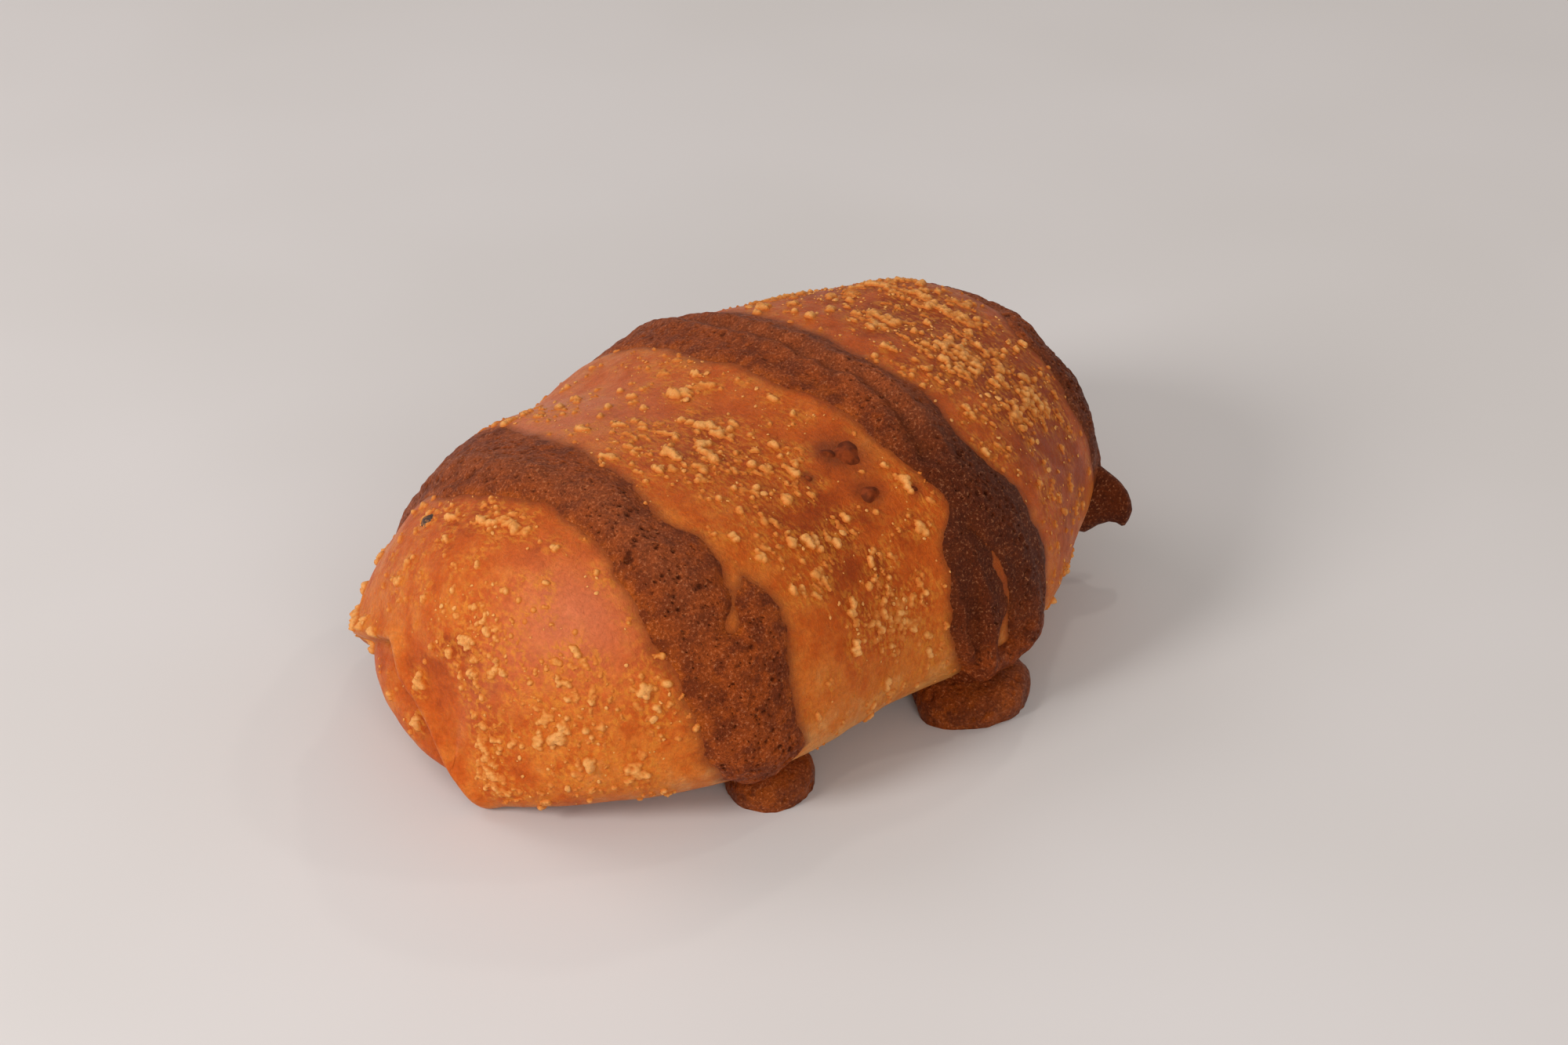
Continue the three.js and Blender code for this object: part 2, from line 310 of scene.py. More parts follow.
def patch(s, t, centre, spread):
    """1 in the middle of a round patch, fading to 0 round it."""
    return hump(s - centre[0], spread[0]) * hump(t - centre[1], spread[1])


# %% [markdown]
# ## Where the batter lies
#
# Each band is the strip between two wandering edges. The batter set in two lobes on the front flank,
# with a parting where the dough shows through. A thick rounded ridge follows the nozzle's path. The
# strips could be painted or cut out by hand. As short lists of corners they are easy to change, and
# every piece can ask how far inside the batter a place is.

# %% The bands
# Edges and ridges are corners (t, s). Partings, furrows and hems, which run along the bun, are (s, t).
BANDS = {
    "cocoa_band_near": {
        "ends": (-0.75, 3.9),
        "near": [(-0.8, -0.55), (-0.5, -0.63), (-0.06, -0.71), (0.11, -0.73), (0.32, -0.75), (0.68, -0.76),
                 (0.95, -0.74), (1.24, -0.72), (1.47, -0.71), (1.79, -0.73), (2.09, -0.74), (2.67, -0.66),
                 (3.2, -0.66), (3.9, -0.6)],
        "far": [(-0.8, -0.45), (-0.33, -0.5), (-0.01, -0.51), (0.13, -0.52), (0.32, -0.51), (0.51, -0.49),
                (0.62, -0.49), (0.75, -0.505), (0.93, -0.545), (1.05, -0.54), (1.16, -0.575), (1.31, -0.56),
                (1.46, -0.53), (1.64, -0.51), (1.88, -0.48), (2.22, -0.43), (2.67, -0.41), (3.9, -0.38)],
        "ridge": [(-0.1, -0.65), (0.15, -0.67), (0.4, -0.68), (0.65, -0.68), (0.94, -0.65), (1.22, -0.65),
                  (1.42, -0.63), (1.64, -0.64), (1.9, -0.64), (2.6, -0.58), (3.9, -0.52)],
        "partings": [
            {"path": [(-0.48, 1.02), (-0.51, 0.92)], "half_width": 2.3},
            {"path": [(-0.51, 0.92), (-0.545, 0.78)], "half_width": 1.4},
            {"path": [(-0.545, 0.78), (-0.605, 0.58)], "half_width": 0.5},
        ],
        "furrows": [],
        "hem": [(-0.76, 0.0), (-0.7, -0.24), (-0.65, -0.42), (-0.6, -0.52), (-0.56, -0.42), (-0.52, -0.2),
                (-0.47, 0.0)],
        "lip": 1.2,
        "toast": 0.0,
        "seed": 10,
    },
    "cocoa_band_middle": {
        "ends": (-0.75, 3.9),
        "near": [(-0.8, 0.1), (-0.28, 0.04), (-0.09, 0.01), (0.12, -0.015), (0.32, 0.0), (0.5, 0.03),
                 (0.66, 0.1), (0.85, 0.09), (0.99, 0.07), (1.13, 0.06), (1.36, 0.08), (1.49, 0.04),
                 (1.64, 0.06), (1.81, 0.03), (2.05, 0.08), (2.54, 0.1), (3.2, 0.08), (3.9, 0.05)],
        "far": [(-0.8, 0.26), (0.04, 0.31), (0.25, 0.33), (0.45, 0.31), (0.57, 0.3), (0.68, 0.28),
                (0.89, 0.25), (1.12, 0.29), (1.34, 0.28), (1.56, 0.3), (1.73, 0.31), (1.96, 0.34),
                (2.6, 0.33), (3.9, 0.27)],
        "ridge": [(-0.1, 0.25), (0.4, 0.23), (0.9, 0.18), (1.2, 0.2), (1.6, 0.2), (1.96, 0.21), (2.6, 0.2),
                  (3.9, 0.16)],
        "partings": [
            {"path": [(0.115, 0.55), (0.15, 0.39), (0.17, 0.14), (0.14, -0.02), (0.15, -0.1)],
             "half_width": 0.42},
        ],
        "furrows": [
            [(0.27, 2.37), (0.2, 1.86), (0.2, 1.63), (0.185, 1.45), (0.2, 1.31), (0.17, 1.1), (0.14, 0.9)],
            [(0.05, 0.45), (0.06, 0.1), (0.05, -0.2)],
        ],
        "hem": [(-0.06, -0.2), (-0.01, -0.46), (0.1, -0.58), (0.22, -0.56), (0.3, -0.42), (0.34, -0.2)],
        "lip": 2.2,
        "toast": 0.8,
        "seed": 20,
    },
    "cocoa_band_far": {
        "ends": (-0.3, 3.5),
        "near": [(-0.4, 0.82), (0.02, 0.83), (0.17, 0.8), (0.34, 0.8), (0.48, 0.78), (0.61, 0.79),
                 (1.18, 0.82), (1.37, 0.9), (1.52, 0.89), (2.2, 0.88), (2.8, 0.84), (3.6, 0.78)],
        "far": [(-0.4, 0.91), (0.3, 0.945), (1.2, 0.955), (1.9, 0.955), (2.6, 0.95), (3.6, 0.9)],
        "ridge": [(-0.4, 0.86), (0.5, 0.88), (1.5, 0.925), (2.5, 0.9), (3.6, 0.85)],
        "partings": [],
        "furrows": [],
        "hem": [(0.7, -0.25), (1.0, -0.25)],
        "lip": 0.6,
        "toast": 0.6,
        "seed": 30,
    },
}
EDGE_SOFTENING = 0.05
EDGE_WANDER = [(0.9, 7), (0.5, 2.6), (0.22, 0.9)]
RIDGE_SPREAD = 4.2


def line_at(corners, t):
    """s on a line with these corners, with the corners rounded."""
    ts, values = zip(*sorted(corners))
    offsets = np.linspace(-2, 2, 9)
    weights = hump(offsets, 1)
    total = sum(w * np.interp(t + o * EDGE_SOFTENING, ts, values) for o, w in zip(offsets, weights))
    return total / weights.sum()


def inside_band(band, s, t, points):
    """Millimetres inside the batter's edge; below zero outside it."""
    inside = np.minimum(s - line_at(band["near"], t), line_at(band["far"], t) - s) * HALF_LENGTH
    for parting in band["partings"]:
        inside = np.minimum(inside, distance_to_path(s, t, parting["path"]) - parting["half_width"])
    hem_s, hem_t = zip(*band["hem"])
    inside = np.minimum(inside, (t - np.interp(s, hem_s, hem_t)) * ROUND_RADIUS)
    return inside + layered(points, EDGE_WANDER, band["seed"])


def inside_batter(s, t, points):
    """The same for whichever band is nearest."""
    return np.max([inside_band(band, s, t, points) for band in BANDS.values()], axis=0)


def ridge_share(band, s, t):
    """1 on the ridge that the nozzle left, fading to 0 beside it."""
    return hump((s - line_at(band["ridge"], t)) * HALF_LENGTH, RIDGE_SPREAD)


print("bands:", ", ".join(BANDS))


# %% [markdown]
# ## The crust itself
#
# The dough is a skin of many small squares: even rings along the bun, closed by a point at each end.
# Its unevenness is real shape, not only shading: slow lumps from rising, small blisters where butter
# crumbs sank under the skin, and the fold at the near end where the sheet was rolled up and tucked in.
# It could be sculpted, but a formula also tells the batter and the crumbs where the skin is.

# %% Slow lumps and the tucked end
FOLD = [(-57, 35, 10), (-59.7, 32.6, 14.2), (-64.4, 25.3, 19.6), (-66.8, 18.9, 22.4), (-67.6, 17.6, 19.7),
        (-68.2, 16.4, 17.1), (-69.2, 11.9, 15), (-69.7, 8.4, 11), (-69.9, 4.8, 6.2), (-69.6, 0.6, 3.2),
        (-69, -3, 0)]
ABOVE_FOLD = (-0.26, -0.35, 0.86)
FOLD_LIP = {"height": 1.0, "off": 1.8, "width": 1.7}
FOLD_GROOVE = {"height": -1.1, "width": 0.8}
FOLD_RECESS = {"height": -2.3, "width": 6}
FOLD_SHADE = 12
RISING_LUMPS = [(0.45, 21), (0.25, 9)]
BLISTERS = {"amount": 0.1, "size": 3.2}
DENTS = [
    # middle in millimetres, radius, height
    ((-58.8, 30.6, 16.9), 9, 2.2),
    ((-68.5, -4, 2), 9, 0.9),
    ((-43, 39, 32), 10, -2.2),
    ((-26, 34, 41), 9, 1.2),
    ((-2, 42, 35), 13, 1.8),
    ((55, 9, 45), 14, 1.6),
]


def from_fold(points):
    """Distance from the fold line, and how far above it (or, below zero, under it) each point is."""
    nearest = np.full(points.shape[:-1], np.inf)
    above = np.zeros(points.shape[:-1])
    for start, end in zip(np.array(FOLD, float), np.array(FOLD, float)[1:]):
        run = end - start
        along = np.clip((points - start) @ run / (run @ run), 0, 1)
        offset = points - start - along[..., None] * run
        distance = np.linalg.norm(offset, axis=-1)
        above = np.where(distance < nearest, offset @ np.array(ABOVE_FOLD), above)
        nearest = np.minimum(nearest, distance)
    return nearest, above


def relief(points):
    """How far the crust stands off the plain dough shape, in millimetres."""
    clear_of_tray = smooth_step(0, 6, points[..., 2])
    blisters = BLISTERS["amount"] * rough_noise(points, BLISTERS["size"], 40)
    height = clear_of_tray * (layered(points, RISING_LUMPS, 1) + blisters)
    for middle, radius, amount in DENTS:
        height = height + bank(np.linalg.norm(points - np.array(middle), axis=-1), amount, radius)
    distance, above = from_fold(points)
    lip = bank(distance, **FOLD_LIP) * smooth_step(-0.2, 0.5, above)
    recess = bank(distance, **FOLD_RECESS) * smooth_step(0.3, -0.5, above)
    return height + lip + bank(distance, **FOLD_GROOVE) + recess


def crust(s, t, off=0.0):
    """Points on the uneven crust, or this far off it."""
    points = dough(s, t)
    lifted = points + dough_normal(s, t) * (relief(points) + off)[..., None]
    lifted[..., 2] = np.maximum(lifted[..., 2], 0)
    return lifted


print("crest at the middle:", [round(float(v), 1) for v in crust(0.0, math.pi / 2)], "mm")

# %% Dabs of batter, and where crumbs fell
DABS = [
    {"at": (-0.02, 1.08), "radius": 4.6, "height": 0.8},
    {"at": (-0.06, 0.87), "radius": 3.0, "height": 1.1},
    {"at": (0.045, 0.8), "radius": 1.5, "height": 0.35},
    {"at": (-0.06, 1.12), "radius": 2.6, "height": 0.45},
    {"at": (-0.16, 1.06), "radius": 1.7, "height": 0.35},
]
CRUMB_PATCHES = [
    # strength, middle (s, t), spread (s, t)
    (0.6, (-0.32, 1.4), (0.22, 0.7)),
    (0.4, (-0.14, 0.75), (0.2, 0.5)),
    (0.25, (-0.3, 0.35), (0.2, 0.4)),
    (0.35, (0.0, 0.5), (0.1, 0.5)),
    (0.4, (-0.02, 1.55), (0.08, 0.4)),
    (1.5, (0.6, 1.25), (0.22, 0.8)),
    (0.6, (0.5, 0.5), (0.2, 0.4)),
    (0.7, (-0.95, 1.0), (0.06, 1.4)),
    (0.6, (-0.86, 0.1), (0.1, 0.22)),
    (1.2, (-0.78, 1.75), (0.03, 0.4)),
    (0.45, (-0.78, 0.7), (0.03, 0.8)),
    (0.5, (-0.3, 2.1), (0.3, 0.7)),
    (0.9, (0.6, 2.2), (0.25, 0.7)),
]
MOST_CRUMBS = 1.5


def patches(s, t, listed):
    """The sum of round patches, each (strength, middle, spread)."""
    return sum(strength * patch(s, t, middle, spread) for strength, middle, spread in listed)


def dab_share(s, t):
    """1 on a dab of batter, fading to 0 round it."""
    return sum(patch(s, t, d["at"], (d["radius"] / HALF_LENGTH, d["radius"] / ROUND_RADIUS)) for d in DABS)


def crumb_share(s, t):
    """How thickly the crumbs lie: none on a dab."""
    bare = np.clip(1 - 1.5 * dab_share(s, t), 0, 1)
    return np.clip(patches(s, t, CRUMB_PATCHES), 0, MOST_CRUMBS) * bare


# %% Rings that are evenly far apart, over the blunt ends too
WALK_STEPS = 40001
END_CROWDING = 5


def even_rings(count):
    share = np.linspace(-1, 1, WALK_STEPS)
    s = np.sign(share) * (1 - (1 - np.abs(share)) ** END_CROWDING)
    crest, flank = dough(s, math.pi / 2), dough(s, 0.0)
    steps = np.linalg.norm(np.diff(crest, axis=0), axis=1) + np.linalg.norm(np.diff(flank, axis=0), axis=1)
    walked = np.concatenate([[0], np.cumsum(steps)])
    return np.interp(np.linspace(0, walked[-1], count), walked, s)


RINGS = 300
SPOKES = 320
UNDERSIDE_THINNING = 0.55

ring_s = even_rings(RINGS)[1:-1]
turn = np.arange(SPOKES) / SPOKES * 2 * math.pi
spoke_t = turn + UNDERSIDE_THINNING * np.sin(turn) - math.pi / 2
grid_s, grid_t = np.meshgrid(ring_s, spoke_t, indexing="ij")
print("rings", RINGS, "first ring at s", round(float(ring_s[0]), 5))


# %% Mesh helpers
def new_piece(name, points, faces, material):
    """A mesh object from points in millimetres."""
    mesh = bpy.data.meshes.new(name)
    mesh.from_pydata(to_scene(points).tolist(), [], faces)
    mesh.shade_smooth()
    mesh.materials.append(material)
    piece = bpy.data.objects.new(name, mesh)
    bpy.context.scene.collection.objects.link(piece)
    return piece


def store(piece, **values):
    """Keeps numbers at each point, for the material to read."""
    for name, numbers in values.items():
        layer = piece.data.attributes.new(name, "FLOAT", "POINT")
        numbers = np.broadcast_to(np.ravel(numbers), len(layer.data))
        layer.data.foreach_set("value", numbers.astype(np.float32))


def grid_quads(rows, columns, wrap=False):
    """Faces of a grid whose rows follow each other; wrap joins the last column to the first."""
    row, column = np.meshgrid(np.arange(rows - 1), np.arange(columns if wrap else columns - 1), indexing="ij")
    here, beside = row * columns + column, row * columns + (column + 1) % columns
    return np.stack([here, here + columns, beside + columns, beside], axis=-1).reshape(-1, 4).tolist()


def turned_over(faces):
    return [face[::-1] for face in faces]


def ring_angles(columns):
    return np.linspace(0, 2 * math.pi, columns, endpoint=False)[None, :]


def fan(pole, ring_start, columns, flipped=False):
    """Triangles that close a ring of points onto one point."""
    here = list(range(ring_start, ring_start + columns))
    after = here[1:] + here[:1]
    first, second = (after, here) if flipped else (here, after)
    return [(pole, a, b) for a, b in zip(first, second)]


def search_tree(points):
    """A tree that finds the points near a place."""
    tree = kdtree.KDTree(len(points))
    for index, point in enumerate(points):
        tree.insert(point, index)
    tree.balance()
    return tree


# %% Sheets that lie over the crust
def sheet_faces(rows, columns):
    """Faces of a grid closed underneath, where each row has one buried point at either end."""
    faces = turned_over(grid_quads(rows, columns))
    buried = rows * columns
    last = columns - 1
    for i in range(rows - 1):
        start, after = i * columns, (i + 1) * columns
        left, right = buried + 2 * i, buried + 2 * i + 1
        faces.append((start, after, left + 2, left))
        faces.append((left, left + 2, right + 2, right))
        faces.append((after + last, start + last, right, right + 2))
    final = (rows - 1) * columns
    faces.append((*range(columns), buried + 1, buried))
    faces.append((*range(final + last, final - 1, -1), buried + 2 * rows - 2, buried + 2 * rows - 1))
    return faces


def new_sheet(name, s, t, lift, buried, material):
    """A sheet this high over the crust, whose long edges reach down into the dough."""
    top = crust(s, t, lift).reshape(-1, 3)
    under = crust(s[:, [0, -1]], t[:, [0, -1]], -buried).reshape(-1, 3)
    return new_piece(name, np.vstack([top, under]), sheet_faces(*s.shape), material)


def store_sheet(piece, **values):
    """Keeps numbers at each point of a sheet, and 0 at its buried ones."""
    for name, numbers in values.items():
        store(piece, **{name: np.concatenate([numbers.ravel(), np.zeros(2 * len(numbers))])})


BUMP_SIZES = (0.6, 1.4)
BUMP_HEIGHTS = (0.4, 1.2)
BUMP_REACH = 2.2


def scatter_bumps(points, heights, chosen, radius, height, random):
    """Adds round bumps (or pits, with a height below zero) at the chosen points."""
    tree = search_tree(points)
    for centre in chosen:
        size = radius * random.uniform(*BUMP_SIZES)
        tall = height * random.uniform(*BUMP_HEIGHTS)
        for _, index, distance in tree.find_range(points[centre], BUMP_REACH * size):
            heights[index] += tall * math.exp(-((distance / size) ** 2))


# %% [markdown]
# ## The topping's grains
#
# The topping is flour rubbed with butter. It falls in clusters of rounded grains, which stick to the
# dough and bake onto it. So it is one thin layer over each lobe, a height over the crust that is below
# zero where nothing lies. A cluster grows at each clump of the CAD model, at some further places, and at
# random wherever crumbs are likely. It grows grain by grain, each beside one that is there already.

# %% How the topping lies
TOPPING = {
    "near": {"s": (-0.998, -0.62), "t": (-1.0, 3.7), "clusters": 480, "largest": 0.85, "seed": 61},
    "middle": {"s": (-0.6, 0.14), "t": (-0.35, 3.0), "clusters": 580, "largest": 0.95, "seed": 62},
    "far": {"s": (0.24, 0.93), "t": (-0.35, 3.0), "clusters": 950, "largest": 0.95, "seed": 63},
}
LOOSE_CLUMPS = [
    # s, t, radius
    (0.39, 1.97, 1.2), (0.45, 1.9, 1.1), (-0.82, 3.05, 1.3), (-0.75, 2.82, 1.2), (-0.87, 3.15, 1.1),
    (-0.97, 0.87, 1.1), (-0.97, 0.98, 0.9), (-0.92, 0.58, 0.9), (-0.99, 1.2, 1.2), (-0.85, 1.2, 0.8),
    (-0.8, 2.9, 1.4), (-0.84, 2.98, 1.5), (-0.87, 2.95, 1.3), (-0.9, 2.9, 1.3), (-0.93, 2.8, 1.2),
    (-0.78, 2.7, 1.0), (-0.99, 2.6, 1.2), (-0.985, 3.3, 1.1), (-0.85, 1.95, 0.8), (0.63, 1.2, 0.9),
    (-0.17, 1.1, 1.0), (0.1, 1.68, 0.9),
]
TOPPING_STEP = 0.3
ROUNDED_LENGTH = 2.7
SEARCH_STEP = 3
UNDER_CRUST = -0.35
CLUMP = {"grains": (9, 15), "first": 0.62, "heights": (1.0, 1.7)}
CLUSTER = {"smallest": 0.4, "skew": 1.8, "last_grain": 0.36, "heights": (0.3, 1.05)}
NEXT_GRAIN = {"size": (0.72, 1.0), "around": 1.15, "along": 0.8}
DOME = {"window": 1.4, "waviness": 0.14, "fullness": 0.7}
DOME_WAVES = [(1, 0.55), (0.6, 1.1)]
GRAIN_ROUGHNESS = [(0.15, 0.85), (0.075, 0.425)]
STRAY_CRUMBS = 0.02


def topping_grid(s_range, t_range):
    """A fine even grid over a stretch of the crust: its s, its t and its points."""
    crest = even_rings(round(ROUNDED_LENGTH * HALF_LENGTH / TOPPING_STEP))
    columns = crest[(crest > s_range[0]) & (crest < s_range[1])]
    rows = np.linspace(*t_range, round((t_range[1] - t_range[0]) * ROUND_RADIUS / TOPPING_STEP))
    t, s = np.meshgrid(rows, columns, indexing="ij")
    return s, t, dough(s, t)


def topping_chance(s, t, points, seed):
    """How likely a cluster is to fall on each point: none on batter, near the table or in the fold."""
    chance = crumb_share(s, t) + STRAY_CRUMBS * (dab_share(s, t) < 0.1)
    chance = chance * smooth_step(0.4, -0.5, inside_batter(s, t, points))
    chance = chance * smooth_step(1.5, 7, points[..., 2])
    chance = chance * (0.5 + smooth_step(-0.2, 0.7, rough_noise(points, 7, seed))) ** 2
    distance, above = from_fold(points)
    return chance * (1 - smooth_step(0.4, -0.4, above) * hump(distance, FOLD_SHADE))


# %% Grow the clusters
def grow_cluster(start, steps, radius, count, random):
    """Grains of one cluster, as (row, column, radius)."""
    grains = [(*start, radius)]
    for _ in range(count - 1):
        row, column, size = grains[random.integers(len(grains))]
        heading = random.uniform(0, 2 * math.pi)
        smaller = size * random.uniform(*NEXT_GRAIN["size"])
        reach = (size + smaller) / 2
        row += NEXT_GRAIN["around"] * math.sin(heading) * reach / steps[0]
        column += NEXT_GRAIN["along"] * math.cos(heading) * reach / steps[1]
        grains.append((row, column, smaller))
    return grains


def raise_grain(lift, points, waves, steps, grain, height):
    """Lifts a dome with a wavy outline at one grain, and gives its middle, or None off the grid."""
    row, column, radius = grain
    i, j = round(row), round(column)
    if not (0 < i < lift.shape[0] - 1 and 0 < j < lift.shape[1] - 1):
        return None
    tall, wide = (int(DOME["window"] * radius / step) + 2 for step in steps)
    window = (slice(max(i - tall, 0), i + tall + 1), slice(max(j - wide, 0), j + wide + 1))
    apart = np.linalg.norm(points[window] - points[i, j], axis=-1) * (1 + DOME["waviness"] * waves[window])
    share = np.maximum(1 - (apart / radius) ** 2, 0) ** DOME["fullness"]
    lift[window] = np.maximum(lift[window], share * (height - UNDER_CRUST) + UNDER_CRUST)
    return points[i, j]


def lay_topping(settings, clumps):
    """A grid over one lobe, the height of the topping on it, and the middle and radius of each grain."""
    s, t, points = topping_grid(settings["s"], settings["t"])
    seed = settings["seed"]
    random = np.random.default_rng(seed)
    steps = np.stack([np.linalg.norm(np.gradient(points, axis=i), axis=-1) for i in (0, 1)], axis=-1)
    coarse = points[::SEARCH_STEP, ::SEARCH_STEP]
    tree = search_tree(coarse.reshape(-1, 3))
    grains = []
    for clump, radius in clumps:
        _, index, _ = tree.find(clump)
        start = tuple(SEARCH_STEP * i for i in divmod(index, coarse.shape[1]))
        count = random.integers(*CLUMP["grains"])
        cluster = grow_cluster(start, steps[start], CLUMP["first"] * radius, count, random)
        grains += [(grain, steps[start], grain[2] * random.uniform(*CLUMP["heights"])) for grain in cluster]
    chance = topping_chance(s, t, points, seed).ravel()
    larger = settings["largest"] - CLUSTER["smallest"]
    for place in random.choice(chance.size, settings["clusters"], p=chance / chance.sum()):
        start = divmod(int(place), s.shape[1])
        radius = CLUSTER["smallest"] + larger * random.random() ** CLUSTER["skew"]
        count = random.geometric(CLUSTER["last_grain"])
        height = random.uniform(*CLUSTER["heights"])
        cluster = grow_cluster(start, steps[start], radius, count, random)
        grains += [(grain, steps[start], grain[2] * height) for grain in cluster]
    lift = np.full(s.shape, UNDER_CRUST)
    waves = layered(points, DOME_WAVES, seed + 1)
    raised = []
    for grain, step, height in grains:
        middle = raise_grain(lift, points, waves, step, grain, height)
        if middle is not None:
            raised.append((middle, grain[2]))
    rough = layered(points, GRAIN_ROUGHNESS, seed + 3)
    return {"s": s, "t": t, "lift": np.where(lift > 0, lift + rough, lift), "grains": raised}


# %% Lay the topping on each lobe
cad_clumps = {}
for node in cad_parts:
    if node.startswith("crumb_clump"):
        low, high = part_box(node)
        middle = (np.array((low + high) / 2) - np.array(SHIFT)) / MM
        cad_clumps[node] = (middle, (high.z - low.z) / 2 / MM)
loose_clumps = [(dough(s, t), size) for s, t, size in LOOSE_CLUMPS]

toppings = {}
for name, settings in TOPPING.items():
    low_x, high_x = settings["s"][0] * HALF_LENGTH - 1, settings["s"][1] * HALF_LENGTH
    owned = [node for node, clump in cad_clumps.items() if low_x < clump[0][0] < high_x]
    loose = [clump for clump in loose_clumps if low_x < clump[0][0] < high_x]
    toppings[name] = lay_topping(settings, [cad_clumps[node] for node in owned] + loose)
    toppings[name]["owned"] = owned
    print("topping", name, toppings[name]["lift"].shape, len(toppings[name]["grains"]), "grains")

# %% [markdown]
# ## Butter in the crust
#
# Butter melts out of every grain and soaks into the skin round it, and some of it creeps along the
# edges of the batter. The crust keeps a number for that at each of its points, and its finish reads it.

# %% Shape of the crust, and the butter in it
MELTED = {"strength": 0.42, "beyond": 1.1}
CREPT = {"height": 0.4, "off": -1.5, "width": 2}
SOAKED = 0.25

base_points = dough(grid_s, grid_t)
from_batter = inside_batter(grid_s, grid_t, base_points)
flat_points = base_points.reshape(-1, 3)
above_table = smooth_step(1, 8, flat_points[:, 2])

tree = search_tree(flat_points)
butter = np.zeros(len(flat_points))
for topping in toppings.values():
    for middle, radius in topping["grains"]:
        spread = MELTED["beyond"] + radius
        for _, index, distance in tree.find_range(middle, 2 * spread):
            butter[index] += MELTED["strength"] * math.exp(-((distance / spread) ** 2))
crept = bank(from_batter.ravel(), **CREPT) * above_table
soaked = SOAKED * np.minimum(crumb_share(grid_s, grid_t), 1).ravel()
butter += (soaked + crept) * smooth_step(-0.3, 0.5, rough_noise(flat_points, 5, 90))

crust_points = crust(grid_s, grid_t).reshape(-1, 3)
near_pole = len(crust_points)
faces = grid_quads(len(ring_s), SPOKES, wrap=True)
near_end = fan(near_pole, 0, SPOKES)
far_end = fan(near_pole + 1, near_pole - SPOKES, SPOKES, flipped=True)
faces += [face for pair in zip(near_end, far_end) for face in pair]
print("crust faces", len(faces), "buttered points", int((butter > SOAKED).sum()))


# %% [markdown]
# ## Finishes
#
# Each finish is a small network of shader nodes. `Finish` keeps the wiring short: it adds a node, sets
# its numbers and joins its inputs in one call. Patterns are read from Object coordinates, which are
# metres on the bun, so a pattern keeps its size on every piece.

# %% A helper for shader nodes
# A mix node lists its sockets for numbers and vectors before these ones, which are for colours.
MIX_FIRST, MIX_SECOND, MIX_RESULT = 6, 7, 2


def set_inputs(tree, node, inputs):
    """Gives each input a number or a colour, or joins another node's output to it."""
    for key, value in inputs.items():
        if isinstance(value, bpy.types.NodeSocket):
            tree.links.new(value, node.inputs[key])
        elif value is not None:
            node.inputs[key].default_value = value


def add_node(tree, kind, inputs, **settings):
    """Adds a node to a tree and gives its outputs."""
    node = tree.nodes.new(kind)
    for name, value in settings.items():
        setattr(node, name, value)
    set_inputs(tree, node, inputs)
    return node.outputs


class Finish:
    """A material being put together from nodes."""

    def __init__(self, name):
        self.material = bpy.data.materials.new(name)
        self.material.use_nodes = True
        self.tree = self.material.node_tree
        self.place = self.add("ShaderNodeTexCoord", {})["Object"]

    def add(self, kind, inputs, **settings):
        return add_node(self.tree, kind, inputs, **settings)

    def attribute(self, name):
        return self.add("ShaderNodeAttribute", {}, attribute_name=name)["Fac"]

    def noise(self, size_mm, detail=3, roughness=0.55, distortion=0, place=None):
        """Noise from 0 to 1 whose lumps have about this size."""
        inputs = {"Vector": place or self.place, "Scale": 1 / (size_mm * MM), "Detail": detail,
                  "Roughness": roughness, "Distortion": distortion}
        return self.add("ShaderNodeTexNoise", inputs)["Fac"]

    def cells(self, size_mm):
        """Distance from the nearest of many scattered middles, this far apart."""
        inputs = {"Vector": self.place, "Scale": 1 / (size_mm * MM)}
        return self.add("ShaderNodeTexVoronoi", inputs)["Distance"]

    def stretched(self, stretch):
        """Object coordinates squeezed along each axis, which draws a pattern out into fibres."""
        return self.add("ShaderNodeMapping", {"Vector": self.place, "Scale": stretch})["Vector"]

    def calculate(self, operation, a, b):
        return self.add("ShaderNodeMath", {0: a, 1: b}, operation=operation)["Value"]

    def times(self, a, b):
        return self.calculate("MULTIPLY", a, b)

    def swing(self, pattern, amount):
        """A pattern's ups and downs about its middle, this strong."""
        return self.times(self.calculate("SUBTRACT", pattern, 0.5), amount)

    def range(self, value, low, high, to_low=0.0, to_high=1.0):
        """A smooth step from to_low, where the value is low, to to_high, where it is high."""
        inputs = dict(enumerate((value, low, high, to_low, to_high)))
        return self.add("ShaderNodeMapRange", inputs, interpolation_type="SMOOTHSTEP")["Result"]

    def mix(self, share, first, second, blend="MIX"):
        inputs = {"Factor": share, MIX_FIRST: first, MIX_SECOND: second}
        return self.add("ShaderNodeMix", inputs, data_type="RGBA", blend_type=blend)[MIX_RESULT]

    def shaded(self, colour, shading):
        return self.mix(1.0, colour, shading, blend="MULTIPLY")

    def bump(self, height, distance_mm, strength=1.0, under=None):
        inputs = {"Strength": strength, "Distance": distance_mm * MM, "Height": height, "Normal": under}
        return self.add("ShaderNodeBump", inputs)["Normal"]

    def finish(self, colour, roughness, normal, **uniform):
        """Joins the three varying inputs, and sets the others straight on the shader."""
        shader = self.tree.nodes["Principled BSDF"]
        set_inputs(self.tree, shader, {"Base Color": colour, "Roughness": roughness, "Normal": normal})
        set_inputs(self.tree, shader, {name.replace("_", " "): value for name, value in uniform.items()})
        return self.material
